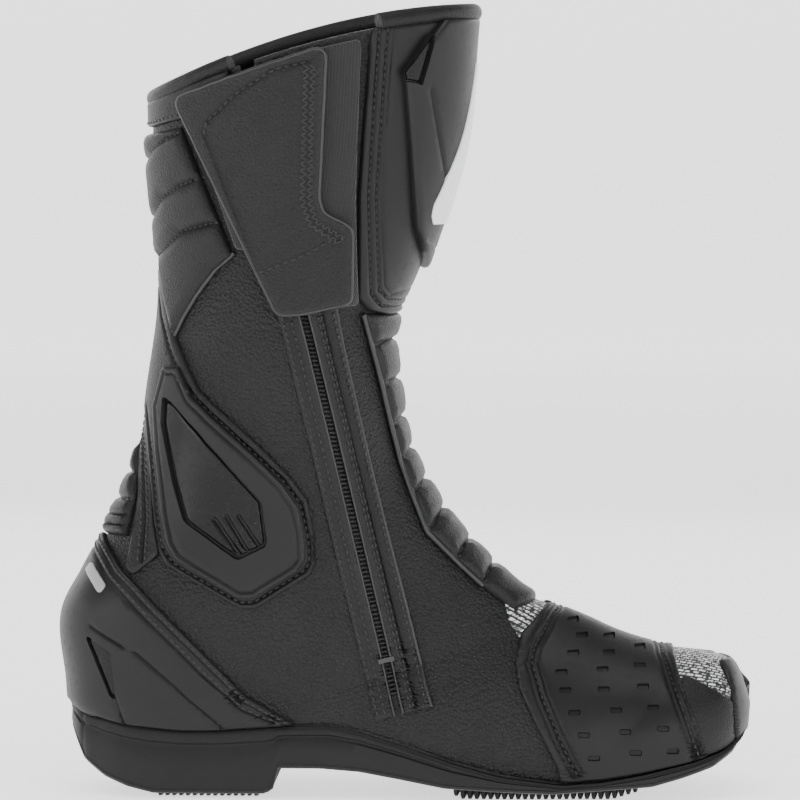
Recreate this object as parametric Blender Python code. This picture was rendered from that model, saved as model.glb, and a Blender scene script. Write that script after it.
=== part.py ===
# Left riding boot: a foot and a shaft hinged at the ankle, a zip with a sliding slider
# up the inner side, and a flap that folds over the zip.
#
# Sizes are millimetres here and are turned into metres when a mesh is made.
# +X points to the toe, +Y to the outer side of the foot, +Z up.
# The origin is the middle of the heel, on the ground.
#
# The outer face of the leather is one smooth surface, described by sections that run from
# the collar down the shaft, fan round the heel and go on along the foot to the toe. Every
# panel is cut from a thin shell at its own height over that surface, so that stacked panels
# stay parallel and keep their gap.

import bpy
import bmesh
from math import ceil, cos, hypot, pi, radians, sin, sqrt, tan
from mathutils import Matrix, Vector

MM = 0.001

# Overall sizes
BOOT_LENGTH = 304.0
BOOT_HEIGHT = 343.0
SHAFT_HALF_WIDTH = 52.5  # at the zip's top end
INSTEP_HALF_WIDTH = 37.25  # at the zip's bottom end
BALL_HALF_WIDTH = 49.0
COLLAR_ARCH = 7.0  # rise of the collar's sides over its front and back
TOE_INSET = 6.0  # how far the toe tip lies to the inner side

# Gaps and layers: heights over the outer face of the leather
GAP = 0.3
LEATHER = 2.0
STIFFENER = 1.2
LINING = 2.2
OVERLAY = 2.7
ANKLE_PAD = 2.0
ANKLE_PAD_LIFT = 0.8  # the pad's inner face, clear of the seams it covers
GUARD_SHELL = 2.4
SHIN_SHELL = 4.0
REFLECTOR = 0.6
HEEL_INSET = 1.2
LOOP_PATCH = 1.3
PLACKET = 1.2
FLAP = 2.2
FLAP_HEIGHT = 5.8
ELASTIC = 2.3
COLLAR_DEPTH = 14.0
COLLAR_PADDING = 1.0  # how far the collar stands inside the lining
CORNER = 6.0  # rounding of the flap's and the toe slider's corners
TOE_SLIDER = 5.5

# Zip
ZIP_TAPE_HALF_WIDTH = 8.0
ZIP_SLOT_MARGIN = 0.4
ZIP_TAPE_DEPTH = 1.4
ZIP_TAPE_RISE = 0.4
SLIDER_WIDTH = 8.0
SLIDER_LENGTH = 14.0
SLIDER_THICKNESS = 1.8
SLIDER_LIFT = 2.3
PULLER_WIDTH = 5.0
PULLER_LENGTH = 22.0
PULLER_THICKNESS = 1.1
PULLER_PIN_DROP = 3.6
PLACKET_BACK = (-11.0, -5.2)  # the bands beside the teeth, across the zip's line
PLACKET_FRONT = (5.2, 15.0)
PLACKET_TOP_DROP = 7.0
PLACKET_OVERLAP = 10.0  # how far the bands start under the ankle's height
GUSSET_MARGIN = 12.0
GUSSET_TOP_DROP = 4.0
ZIP_FACE_TURN = 6.0  # the slider's face turns a little to the back
ZIP_STOP_HALF_WIDTH = 3.5
ZIP_STOP_INSET = 4.0
ZIP_STOP_LENGTH = 2.0
ZIP_STOP_RISE = 1.8

# Sole
WELT = 1.5
INSERT_INSET = 7.0
INSERT_FACE = 4.5  # an insert's corners above this height on the pattern lie inside the outsole
BOARD_THICKNESS = 2.0
FOOTBED_THICKNESS = 3.5
BOARD_INSET = 9.0
SHANK_THICKNESS = 1.5
SHANK_HALF_WIDTH = 8.0
SHANK_ENDS = (-14.0, 84.0)

# Toe slider screws
SCREW_HEAD_RADIUS = 3.0
SCREW_SHANK_RADIUS = 1.6
SCREW_HEAD_DEPTH = 2.2

# Joints
ANKLE_RANGE = 10.0
ANKLE_CUT_MARGIN = 1.0
SWING_MARGIN = 8.0  # free length of the foot's slot under the zip's end
FLAP_AXIS_GAP = 3.0
FLAP_AXIS_HEIGHT = 3.8

# The pattern is drawn at this size, then graded to BOOT_LENGTH and BOOT_HEIGHT
PATTERN_LENGTH = 304.0
PATTERN_HEIGHT = 343.0

ANKLE_AXIS = (13.0, 112.0)  # x, z on the pattern
ZIP_TOP = (21.1, 299.0)
ZIP_BOTTOM = (78.75, 56.0)
SLIDER_REST = 288.0  # height of the slider's middle when the zip is closed
HEEL_CENTRE_X = -26.0
HEEL_RADIUS = 32.0

# Sections: back point x, z; front point x, z; fullness of the back and of the front
SECTIONS = (
    (-25.0, 303.5, 112.0, 340.5, 3.5, 2.6),
    (-24.0, 275.0, 106.5, 286.0, 3.3, 2.8),
    (-20.5, 240.0, 92.0, 238.0, 3.0, 3.0),
    (-20.5, 212.0, 79.5, 205.0, 3.0, 3.2),
    (-25.0, 180.0, 81.0, 178.0, 3.0, 3.8),
    (-30.0, 148.0, 86.0, 151.0, 3.2, 4.4),
    (-41.0, 121.0, 98.5, 127.0, 3.6, 4.4),
    (-54.0, 97.0, 111.5, 110.0, 5.5, 4.4),
    (-63.5, 77.0, 123.0, 98.5, 8.0, 4.4),
    (-61.5, 52.0, 133.0, 89.0, 9.5, 4.4),
    (-58.0, 34.0, 140.5, 84.0, 10.0, 4.4),
    (-40.0, 28.5, 147.5, 81.2, 10.0, 4.3),
    (-13.0, 25.5, 155.0, 78.3, 10.0, 4.0),
    (25.0, 27.0, 166.0, 73.8, 10.0, 3.4),
    (60.0, 26.5, 178.0, 68.3, 10.0, 3.0),
    (95.0, 16.0, 190.0, 64.2, 10.0, 2.8),
    (130.0, 6.8, 201.0, 61.8, 10.0, 2.8),
    (160.0, 3.8, 211.0, 61.0, 10.0, 2.8),
    (190.0, 8.0, 221.0, 59.6, 10.0, 2.8),
    (216.0, 14.5, 230.0, 55.0, 10.0, 2.8),
    (235.0, 27.0, 236.0, 39.0, 10.0, 2.8),
)
LAST_ZIP_SECTION = 12
HEEL_SECTION = 10
TOE_SECTION = 17
# Half widths of the sections past the zip, as shares of BALL_HALF_WIDTH, to TOE_SECTION
FOOT_WIDTHS = (0.85, 0.915, 0.975, 1.0, 0.965)
# How far the feather edge stands out, as a share of the section's half width
EDGE_WIDTHS = (1.0, 0.96, 0.92, 0.87, 0.85, 0.89, 0.93, 0.93, 0.92, 0.9, 0.88)

SOLE_TOP = (
    (-80.0, 41.0), (-62.5, 39.6), (-52.8, 35.2), (-35.2, 31.7), (-13.2, 29.5), (4.4, 29.5),
    (35.2, 31.7), (52.8, 32.1), (66.0, 29.5), (83.6, 24.2), (105.6, 16.7), (127.6, 11.0),
    (154.0, 7.5), (171.6, 8.8), (189.2, 11.9), (211.2, 16.7), (224.4, 20.7), (233.2, 26.4),
    (237.0, 32.5), (250.0, 45.0),
)
SOLE_BOTTOM = (
    (250.0, 43.0), (237.5, 30.5), (229.0, 19.5), (220.0, 14.0), (206.8, 10.0), (193.0, 6.5),
    (150.0, 3.5), (103.0, 5.5), (84.0, 8.8), (66.0, 11.9), (48.4, 13.2), (29.0, 13.2), (26.0, 2.0),
    (-24.0, 2.0), (-36.0, 4.8), (-46.0, 8.8), (-55.0, 15.4), (-60.3, 26.4), (-80.0, 35.0),
)
FOREFOOT_INSERT = (
    (104.0, 5.4), (106.0, 2.5), (110.0, 0.0), (176.0, 0.0), (188.0, 3.4), (192.0, 7.8), (165.0, 5.4),
)
HEEL_INSERT = ((-23.0, 6.0), (-23.0, 0.0), (23.0, 0.0), (23.0, 6.0))

# Panel outlines on the side view
FLAP_OUTLINE = (
    (-14.0, 303.0), (52.5, 324.0), (49.0, 258.0), (60.5, 248.0), (60.0, 213.5), (31.0, 209.5),
)
FLAP_AXIS_TOP = (69.5, 325.0)
FLAP_AXIS_BOTTOM = (64.0, 213.0)
ELASTIC_BACK = ((48.0, 325.0), (46.5, 255.0), (52.0, 240.0), (52.0, 212.0))
SHIN_BASE_OUTLINE = (
    (70.5, 360.0), (66.5, 262.0), (65.5, 225.0), (69.0, 214.0), (78.0, 210.0), (140.0, 213.0), (140.0, 360.0),
)
SHIN_PLATE_OUTLINE = (
    (101.0, 360.0), (83.5, 315.0), (87.0, 249.0), (91.5, 231.5), (104.0, 239.0), (140.0, 239.0),
    (140.0, 360.0),
)
REFLECTOR_OUTLINE = (
    (107.5, 255.0), (108.0, 265.0), (110.0, 277.0), (114.5, 289.0), (117.0, 318.0), (140.0, 318.0),
    (140.0, 255.0),
)
CALF_PAD_OUTLINE = (
    (-60.0, 289.0), (-10.5, 292.0), (12.0, 236.0), (4.0, 229.0), (-4.5, 218.0), (-10.0, 208.0),
    (-13.5, 200.5), (-17.0, 216.5), (-19.5, 233.0), (-60.0, 240.5),
)
ANKLE_PAD_OUTLINE = (
    (-60.0, 239.5), (-20.5, 232.0), (-18.0, 216.0), (-14.0, 199.0), (-10.5, 189.5), (-4.0, 177.0),
    (7.0, 167.0), (22.5, 153.5), (36.0, 140.0), (43.5, 130.0), (46.2, 116.0), (47.0, 103.0), (42.0, 95.5),
    (21.0, 82.5), (12.0, 82.0), (-17.0, 100.0), (-21.5, 107.0), (-24.0, 120.0), (-27.0, 150.0),
    (-29.5, 170.0),
    (-60.0, 176.0),
)
ANKLE_GUARD_OUTLINE = (
    (-22.0, 187.0), (-13.0, 187.0), (-7.0, 174.0), (4.0, 163.5), (20.0, 149.5), (33.0, 136.5), (39.5, 127.0),
    (42.0, 115.0), (42.5, 104.0), (39.0, 99.0), (20.5, 87.5), (13.5, 87.0), (-13.5, 103.5),
    (-17.5, 110.0), (-20.0, 122.0), (-23.0, 150.0), (-25.0, 170.0),
)
REAR_FLEX_OUTLINE = (
    (-70.0, 113.0), (-24.0, 113.0), (-27.5, 150.0), (-30.0, 169.5), (-31.0, 174.5), (-70.0, 175.0),
)
FRONT_FLEX_LINE = (
    (66.0, 208.5), (74.8, 180.4), (81.8, 146.0), (87.8, 131.0), (94.2, 114.8), (106.5, 101.6), (120.0, 89.8),
    (133.3, 79.6),
)
INSTEP_FLEX_START = 3  # the line's corner where the shaft's part ends and the foot's begins
HEEL_CUP_OUTLINE = (
    (-80.0, 111.0), (-44.0, 111.0), (-37.4, 98.6), (17.2, 44.0), (39.6, 32.5), (42.0, 15.0), (-80.0, 15.0),
)
HEEL_INSET_OUTLINE = ((-52.0, 71.5), (-41.0, 62.0), (-39.0, 43.5))
INSET_SHRINK = 0.08  # how much smaller the inset is than its window in the cup
HEEL_BADGE_OUTLINE = ((-55.0, 93.5), (-50.0, 99.5), (-43.5, 92.0), (-48.5, 86.5))
QUARTER_FRONT_LINE = (
    (160.0, 110.0), (137.5, 92.5), (133.5, 79.5), (133.8, 58.0), (135.5, 47.0), (142.0, 32.6), (152.0, 12.8),
    (157.0, 0.0),
)
TOE_CAP_LINE = ((190.0, 90.0), (195.0, 66.0), (197.5, 53.7), (201.0, 42.0), (206.0, 29.0), (212.0, 0.0))
SHIFT_PAD_BACK = (
    (149.6, 100.0), (149.6, 83.0), (137.0, 70.5), (134.5, 58.0), (136.2, 47.0), (142.8, 32.6), (152.6, 12.8),
    (157.0, 0.0),
)
SHIFT_PAD_FRONT = (
    (199.0, 90.0), (200.6, 64.0), (203.7, 61.0), (205.0, 53.7), (208.6, 42.0), (213.8, 29.0), (219.0, 0.0),
)
TOE_SLIDER_OUTLINE = (
    (190.0, 36.0), (200.0, 53.0), (221.0, 54.0), (245.0, 46.0), (245.0, 30.0), (206.0, 27.0),
)
TOE_SLIDER_CLEARANCE = ((186.0, 0.0), (186.0, 40.0), (197.0, 57.0), (260.0, 57.0), (260.0, 0.0))
TOE_SLIDER_SCREWS = ((202.0, 42.0), (217.0, 42.0))
STIFFENER_OUTLINE = ((-80.0, 90.0), (-30.0, 84.0), (5.0, 46.0), (20.0, 15.0), (-80.0, 15.0))
TOE_PUFF_LINE = ((207.0, 90.0), (206.0, 50.0), (213.0, 0.0))
LOOP_PATCH_OUTLINE = ((-3.0, 290.0), (10.0, 290.0), (22.0, 238.0), (14.0, 238.0))

FAR = 150.0


# ---------------------------------------------------------------- pattern and surface

def graded(x, z):
    return x * BOOT_LENGTH / PATTERN_LENGTH, z * BOOT_HEIGHT / PATTERN_HEIGHT


def lerp(a, b, t):
    return a + (b - a) * t


def spline(values, t):
    """A smooth curve through evenly spaced values, at t between 0 and their last index."""
    i = min(max(int(t), 0), len(values) - 2)
    u = t - i
    p1, p2 = values[i], values[i + 1]
    p0 = values[i - 1] if i else 2 * p1 - p2
    p3 = values[i + 2] if i + 2 < len(values) else 2 * p2 - p1
    return p1 + 0.5 * u * (p2 - p0 + u * (2 * p0 - 5 * p1 + 4 * p2 - p3 + u * (3 * (p1 - p2) + p3 - p0)))


def section(v):
    """Back x, back z, front x, front z, back fullness, front fullness of the section at v."""
    return [spline([row[k] for row in SECTIONS], v) for k in range(6)]


def zip_half_width(z):
    """Distance of the zip from the middle plane, at a pattern height."""
    t = (z - ZIP_BOTTOM[1]) / (ZIP_TOP[1] - ZIP_BOTTOM[1])
    return lerp(INSTEP_HALF_WIDTH, SHAFT_HALF_WIDTH, t)


def zip_x(z):
    t = (z - ZIP_BOTTOM[1]) / (ZIP_TOP[1] - ZIP_BOTTOM[1])
    return lerp(ZIP_BOTTOM[0], ZIP_TOP[0], t)


def profile(s, v):
    """Half width at s, from the back (0) to the front (1), as a share of the section's."""
    back_x, _, front_x, _, back_full, front_full = section(v)
    heel_x = back_x if v <= HEEL_SECTION else SECTIONS[HEEL_SECTION][0]
    from_heel = (lerp(back_x, front_x, s) - heel_x) / (front_x - heel_x)
    edge = spline(EDGE_WIDTHS, max(0.0, v - HEEL_SECTION))
    back = sqrt(max(0.0, 1.0 - max(0.0, 1.0 - from_heel) ** back_full))
    return sqrt(max(0.0, 1.0 - s ** front_full)) * back * (1.0 - (1.0 - edge) * (1.0 - s) ** 3)


def zip_crossing(v):
    """Where the zip's line meets the section at v: how far along the section, and the height."""
    back_x, back_z, front_x, front_z = section(v)[:4]
    slope = (ZIP_TOP[0] - ZIP_BOTTOM[0]) / (ZIP_TOP[1] - ZIP_BOTTOM[1])
    dx, dz = front_x - back_x, front_z - back_z
    s = (ZIP_BOTTOM[0] + slope * (back_z - ZIP_BOTTOM[1]) - back_x) / (dx - slope * dz)
    return s, back_z + dz * s


def zip_section_width(v):
    s, z = zip_crossing(v)
    return zip_half_width(z) / profile(s, v)


def half_width(v):
    """Half width of the section at v. The zip lies on a straight line."""
    if v <= LAST_ZIP_SECTION:
        return zip_section_width(v)
    toe = max(0.0, (v - TOE_SECTION) / (len(SECTIONS) - 1 - TOE_SECTION))
    widths = [zip_section_width(LAST_ZIP_SECTION)] + [share * BALL_HALF_WIDTH for share in FOOT_WIDTHS]
    return spline(widths, min(v, TOE_SECTION) - LAST_ZIP_SECTION) * sqrt(max(0.0, 1.0 - toe ** 2.2))


def centre_shift(v):
    """Sideways place of the section's middle: the toe turns to the inner side."""
    t = max(0.0, v - LAST_ZIP_SECTION) / (len(SECTIONS) - 1 - LAST_ZIP_SECTION)
    return -TOE_INSET * t * t


def surface_point(v, s, side):
    """A point of the leather's outer face; side is +1 on the outer side of the foot."""
    back_x, back_z, front_x, front_z = section(v)[:4]
    arch = COLLAR_ARCH * max(0.0, 1.0 - v) * 4.0 * s * (1.0 - s)
    x, z = graded(lerp(back_x, front_x, s), lerp(back_z, front_z, s))
    return Vector((x, centre_shift(v) + side * half_width(v) * profile(s, v), z + arch))


# ---------------------------------------------------------------- meshes and cutters

HALF_COLUMNS = 10
# First and last section of the layers that cover a part of the boot
SHAFT_ROWS = (0.0, 5.0)
ANKLE_ROWS = (1.0, 9.0)
HEEL_ROWS = (5.0, 10.77)
TOE_ROWS = (14.0, 20.0)
THINNING_START = 205.0
THINNING_AT_TIP = 0.35
ROWS = (
    [0.0, 0.5, 1.0, 2.0, 3.0, 4.0, 5.0, 6.0, 7.0, 8.0, 9.0, 10.0]
    + [10.07, 10.25, 10.77, 11.4, 12.2, 13.0, 14.0, 15.0, 16.0, 17.0, 18.0]
    + [18.7, 19.3, 19.75, 20.0]
)
HEEL_COLUMN = 0.004  # one more column close to the back line


def base_surface(first, last):
    """The leather's outer face between two sections, as an open, triangulated mesh."""
    bm = bmesh.new()
    shares = [(1.0 - cos(pi * k / HALF_COLUMNS)) / 2.0 for k in range(HALF_COLUMNS + 1)]
    shares.insert(1, HEEL_COLUMN)
    steps = [(s, 1.0) for s in shares] + [(s, -1.0) for s in reversed(shares[:-1])]
    chosen = [v for v in ROWS if first <= v <= last]
    rows = [[bm.verts.new(surface_point(v, s, side)) for s, side in steps] for v in chosen]
    for upper, lower in zip(rows, rows[1:]):
        for k in range(len(steps) - 1):
            bm.faces.new((upper[k], upper[k + 1], lower[k + 1], lower[k]))
    bmesh.ops.remove_doubles(bm, verts=bm.verts, dist=0.01)
    bmesh.ops.dissolve_degenerate(bm, edges=bm.edges, dist=0.01)
    bmesh.ops.triangulate(bm, faces=bm.faces)
    bmesh.ops.recalc_face_normals(bm, faces=bm.faces)
    if sum(f.normal.y * f.calc_center_median().y * f.calc_area() for f in bm.faces) < 0:
        bmesh.ops.reverse_faces(bm, faces=bm.faces)
    bm.normal_update()
    return bm


def mesh_object(bm, name="piece"):
    mesh = bpy.data.meshes.new(name)
    bm.to_mesh(mesh)
    bm.free()
    obj = bpy.data.objects.new(name, mesh)
    bpy.context.scene.collection.objects.link(obj)
    return obj


def thinning(point):
    """Layers inside the leather lie closer together towards the toe tip."""
    start, end = graded(THINNING_START, 0.0)[0], graded(SECTIONS[-1][2], 0.0)[0]
    return lerp(1.0, THINNING_AT_TIP, min(max((point.x - start) / (end - start), 0.0), 1.0))


def shell(inner, outer, first=0.0, last=20.0):
    """The closed layer between two heights over the leather's outer face."""
    base = base_surface(first, last)
    base.verts.index_update()
    normals = [v.normal.copy() for v in base.verts]
    points = [v.co.copy() for v in base.verts]
    faces = [[v.index for v in f.verts] for f in base.faces]
    loops = [e.link_loops[0] for e in base.edges if e.is_boundary]
    rims = [(loop.vert.index, loop.link_loop_next.vert.index) for loop in loops]
    base.free()
    bm = bmesh.new()

    def lifted(height):
        shares = [thinning(p) if height < 0 else 1.0 for p in points]
        return [bm.verts.new(p + n * height * share) for p, n, share in zip(points, normals, shares)]

    tops, lows = lifted(outer), lifted(inner)
    for f in faces:
        bm.faces.new([tops[i] for i in f])
        bm.faces.new([lows[i] for i in reversed(f)])
    for a, b in rims:
        bm.faces.new((tops[b], tops[a], lows[a], lows[b]))
    bmesh.ops.triangulate(bm, faces=bm.faces)
    return mesh_object(bm, "shell")


def prism(points, low, high, axis="Y"):
    """An outline with corners (x, z), run along Y, or (x, y), run along Z."""
    bm = bmesh.new()

    def ring(depth):
        if axis == "Y":
            return [bm.verts.new((a, depth, b)) for a, b in points]
        return [bm.verts.new((a, b, depth)) for a, b in points]

    first, last = ring(low), ring(high)
    bm.faces.new(first)
    bm.faces.new(list(reversed(last)))
    for i in range(len(points)):
        j = (i + 1) % len(points)
        bm.faces.new((first[j], first[i], last[i], last[j]))
    bmesh.ops.recalc_face_normals(bm, faces=bm.faces)
    return mesh_object(bm, "prism")


def boolean(obj, cutter, operation):
    """Cut obj by cutter and drop the cutter."""
    modifier = obj.modifiers.new("cut", "BOOLEAN")
    modifier.operation = operation
    modifier.object = cutter
    modifier.solver = "EXACT"
    bpy.context.view_layer.update()
    result = bpy.data.meshes.new_from_object(obj.evaluated_get(bpy.context.evaluated_depsgraph_get()))
    obj.modifiers.clear()
    obj.data = result
    bpy.data.objects.remove(cutter)
    return obj


def keep(obj, cutter):
    return boolean(obj, cutter, "INTERSECT")


def cut(obj, cutter):
    return boolean(obj, cutter, "DIFFERENCE")


def grade_outline(points):
    return [graded(x, z) for x, z in points]


def rounded(points, radius, step=30.0):
    """An outline with each corner turned into an arc."""
    result = []
    count = len(points)
    for i in range(count):
        before, here, after = (Vector(points[(i + k) % count]) for k in (-1, 0, 1))
        a, b = (before - here), (after - here)
        angle = a.angle(b)
        reach = min(radius / tan(angle / 2.0), a.length * 0.45, b.length * 0.45)
        if angle > radians(160) or reach < 0.2:
            result.append(tuple(here))
            continue
        start, end = here + a.normalized() * reach, here + b.normalized() * reach
        turns = max(1, ceil((180.0 - angle * 180.0 / pi) / step))
        for k in range(turns + 1):
            t = k / turns
            result.append(tuple(start * (1 - t) ** 2 + here * 2 * t * (1 - t) + end * t * t))
    return result


def side_range(side):
    """Depth range of an outline's cut: outer side, inner side or both."""
    return {"outer": (GAP / 2, FAR), "inner": (-FAR, -GAP / 2), "both": (-FAR, FAR)}[side]


def zip_strip(back, front, low, high):
    """Outline of a strip along the zip, from back to front of its line, between two heights."""
    direction = Vector((ZIP_TOP[0] - ZIP_BOTTOM[0], ZIP_TOP[1] - ZIP_BOTTOM[1])).normalized()
    across = Vector((direction.y, -direction.x))
    foot, head = Vector((zip_x(low), low)), Vector((zip_x(high), high))
    corners = (foot + across * back, foot + across * front, head + across * front, head + across * back)
    return [graded(*corner) for corner in corners]


def turned(point, degrees):
    """A pattern point of the shaft after the ankle has bent forward."""
    axis = Vector(graded(*ANKLE_AXIS))
    offset = Vector(point) - axis
    a = radians(degrees)
    return axis.x + offset.x * cos(a) + offset.y * sin(a), axis.y - offset.x * sin(a) + offset.y * cos(a)


def offset_line(points, distance):
    """A line of (x, z) points moved along X."""
    return [(x + distance, z) for x, z in points]


# ---------------------------------------------------------------- regions of the boot

def foot_region():
    """Below the ankle's cut and above the sole."""
    axis_x, axis_z = graded(*ANKLE_AXIS)
    top = [(FAR * 2, axis_z), (-FAR, axis_z)]
    return [(x, z + GAP) for x, z in grade_outline(SOLE_TOP)] + top


def shaft_region(below=0.0):
    """Above the ankle's cut, which rises to the front by the ankle's range."""
    axis_x, axis_z = graded(*ANKLE_AXIS)
    rise = tan(radians(ANKLE_RANGE + ANKLE_CUT_MARGIN))
    low = axis_z + GAP - below
    front_low = low + (FAR * 2 - axis_x) * rise
    return [(-FAR, low), (axis_x, low), (FAR * 2, front_low), (FAR * 2, 450), (-FAR, 450)]


def collar_region(drop):
    """Above a line that lies drop under the collar's rim."""
    back, front = graded(*SECTIONS[0][:2]), graded(*SECTIONS[0][2:4])
    slope = (front[1] - back[1]) / (front[0] - back[0])
    return [
        (-FAR, back[1] - drop + slope * (-FAR - back[0])),
        (2 * FAR, back[1] - drop + slope * (2 * FAR - back[0])),
        (2 * FAR, 600), (-FAR, 600),
    ]


def panel(layer, outline, side="both", region=None, minus=(), rows=(0.0, 20.0)):
    """A piece of a layer: inside the outline, on one side, inside the region, less the cuts."""
    obj = shell(*layer, *rows)
    keep(obj, prism(outline, *side_range(side)))
    if region:
        keep(obj, prism(region, -FAR, FAR))
    for outline, side in minus:
        cut(obj, prism(outline, *side_range(side)))
    return obj


def everything():
    return [(-FAR, -50), (2 * FAR, -50), (2 * FAR, 500), (-FAR, 500)]


# ---------------------------------------------------------------- nodes

NODES = []


def node(name, obj, body, colour, roughness=0.6, metallic=0.0):
    """Name a piece, scale it to metres and give it its material and its body's origin."""
    obj.name = name
    obj.data.name = name
    obj.data.materials.clear()
    material = bpy.data.materials.new(name)
    material.use_nodes = True
    shader = material.node_tree.nodes["Principled BSDF"]
    shader.inputs["Base Color"].default_value = (*colour, 1.0)
    shader.inputs["Roughness"].default_value = roughness
    shader.inputs["Metallic"].default_value = metallic
    obj.data.materials.append(material)
    obj.data.transform(Matrix.Translation(-body.location / MM))
    obj.data.transform(Matrix.Scale(MM, 4))
    obj.parent = body
    NODES.append(obj)
    return obj


def body(name, location):
    """An empty on a body's joint."""
    empty = bpy.data.objects.new(name, None)
    empty.location = Vector(location) * MM
    bpy.context.scene.collection.objects.link(empty)
    return empty


LEATHER_BLACK = (0.045, 0.045, 0.047)
PLASTIC_BLACK = (0.03, 0.03, 0.032)
RUBBER_BLACK = (0.025, 0.025, 0.026)
TEXTILE_BLACK = (0.02, 0.02, 0.021)
LINING_GREY = (0.07, 0.07, 0.075)
REFLECTIVE = (0.75, 0.76, 0.77)
STEEL = (0.55, 0.56, 0.58)
DARK_METAL = (0.12, 0.12, 0.125)
BOARD_BROWN = (0.3, 0.24, 0.17)

HEIGHTS = {
    "leather": (-LEATHER, 0.0),
    "stiffener": (-LEATHER - GAP - STIFFENER, -LEATHER - GAP),
    "lining": (-LEATHER - 2 * GAP - STIFFENER - LINING, -LEATHER - 2 * GAP - STIFFENER),
    "overlay": (GAP, GAP + OVERLAY),
    "placket": (ZIP_TAPE_RISE + GAP, ZIP_TAPE_RISE + GAP + PLACKET),
    "tape": (-ZIP_TAPE_DEPTH, ZIP_TAPE_RISE),
    "ankle pad": (ANKLE_PAD_LIFT, ANKLE_PAD_LIFT + ANKLE_PAD),
    "ankle guard": (ANKLE_PAD_LIFT + ANKLE_PAD + GAP, ANKLE_PAD_LIFT + ANKLE_PAD + GAP + GUARD_SHELL),
    "shin plate": (2 * GAP + OVERLAY, 2 * GAP + OVERLAY + SHIN_SHELL),
    "shin reflector": (3 * GAP + OVERLAY + SHIN_SHELL, 3 * GAP + OVERLAY + SHIN_SHELL + REFLECTOR),
    "on overlay": (2 * GAP + OVERLAY, 2 * GAP + OVERLAY + REFLECTOR),
    "flap": (FLAP_HEIGHT, FLAP_HEIGHT + FLAP),
    "elastic": (FLAP_HEIGHT - GAP - ELASTIC, FLAP_HEIGHT - GAP),
    "loop patch": (GAP, GAP + LOOP_PATCH),
    "hook patch": (2 * GAP + LOOP_PATCH, FLAP_HEIGHT - GAP),
    "heel inset": (GAP, GAP + HEEL_INSET),
    "toe slider": (GAP, GAP + TOE_SLIDER),
    "zip stop": (ZIP_TAPE_RISE + GAP, ZIP_TAPE_RISE + GAP + ZIP_STOP_RISE),
}


# ---------------------------------------------------------------- sole

def plan_outline(margin):
    """The feather edge seen from above, moved outwards by margin."""
    count = 24
    last = len(SECTIONS) - 1
    rows = [HEEL_SECTION + (last - HEEL_SECTION) * (1 - cos(pi * k / count)) / 2 for k in range(count + 1)]
    edge = [surface_point(v, 0.0, 1.0).xy for v in rows]
    edge += [surface_point(v, 0.0, -1.0).xy for v in rows[-2:0:-1]]
    result = []
    for i, point in enumerate(edge):
        along = (edge[(i + 1) % len(edge)] - edge[i - 1]).normalized()
        outward = Vector((-along.y, along.x))
        result.append(tuple(point + outward * margin))
    return result


def sole_plate(line_low, line_high, margin):
    """A plate between two side-view lines, with the sole's plan moved by margin."""
    obj = prism(list(line_low) + list(reversed(line_high)), -FAR, FAR)
    return keep(obj, prism(plan_outline(margin), -100.0, 200.0, "Z"))


def sole_line(rise):
    return [(x, z + rise) for x, z in grade_outline(SOLE_TOP)]


def build_sole(foot):
    outsole = prism(sole_line(0.0) + grade_outline(SOLE_BOTTOM), -FAR, FAR)
    keep(outsole, prism(plan_outline(WELT), -100.0, 200.0, "Z"))
    for name, outline in (("forefoot_tread_insert", FOREFOOT_INSERT), ("heel_tread_insert", HEEL_INSERT)):
        corners = grade_outline(outline)
        insert = keep(prism(corners, -FAR, FAR), prism(plan_outline(-INSERT_INSET), -100.0, 200.0, "Z"))
        middle = sum(x for x, z in corners) / len(corners)
        ends = [x + (GAP if x > middle else -GAP) for x, z in corners]
        inside = [z > INSERT_FACE for x, z in outline]
        heights = [z + GAP if hidden else z - 5.0 for (x, z), hidden in zip(corners, inside)]
        pocket = prism(list(zip(ends, heights)), -FAR, FAR)
        cut(outsole, keep(pocket, prism(plan_outline(GAP - INSERT_INSET), -100.0, 200.0, "Z")))
        node(name, insert, foot, RUBBER_BLACK, 0.7)
    build_shank(foot, outsole)
    node("outsole", outsole, foot, RUBBER_BLACK, 0.7)
    build_insoles(foot)


def build_shank(foot, outsole):
    """The waist's spring, let into a groove of the outsole."""
    start, end = (graded(x, 0.0)[0] for x in SHANK_ENDS)
    crest = [(x, z) for x, z in sole_line(0.0) if start - 1.0 < x < end + 1.0]
    top = [(x, z - GAP) for x, z in crest]
    bottom = [(x, z - SHANK_THICKNESS) for x, z in reversed(top)]
    node("shank", prism(top + bottom, -SHANK_HALF_WIDTH, SHANK_HALF_WIDTH), foot, STEEL, 0.35, 1.0)
    floor = [(x, z - SHANK_THICKNESS - 2 * GAP) for x, z in reversed(crest)]
    above = max(z for x, z in crest) + 5.0
    back, front = crest[0][0] - GAP, crest[-1][0] + GAP
    groove = [(back, above), (front, above), (front, floor[0][1])] + floor + [(back, floor[-1][1])]
    cut(outsole, prism(groove, -SHANK_HALF_WIDTH - GAP, SHANK_HALF_WIDTH + GAP))


def build_insoles(foot):
    board_low = GAP
    board_high = board_low + BOARD_THICKNESS
    board = sole_plate(sole_line(board_low), sole_line(board_high), -BOARD_INSET)
    node("insole_board", board, foot, BOARD_BROWN, 0.8)
    bed_low = board_high + GAP
    bed = sole_plate(sole_line(bed_low), sole_line(bed_low + FOOTBED_THICKNESS), -BOARD_INSET)
    node("footbed", bed, foot, LINING_GREY, 0.9)


# ---------------------------------------------------------------- foot upper

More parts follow.
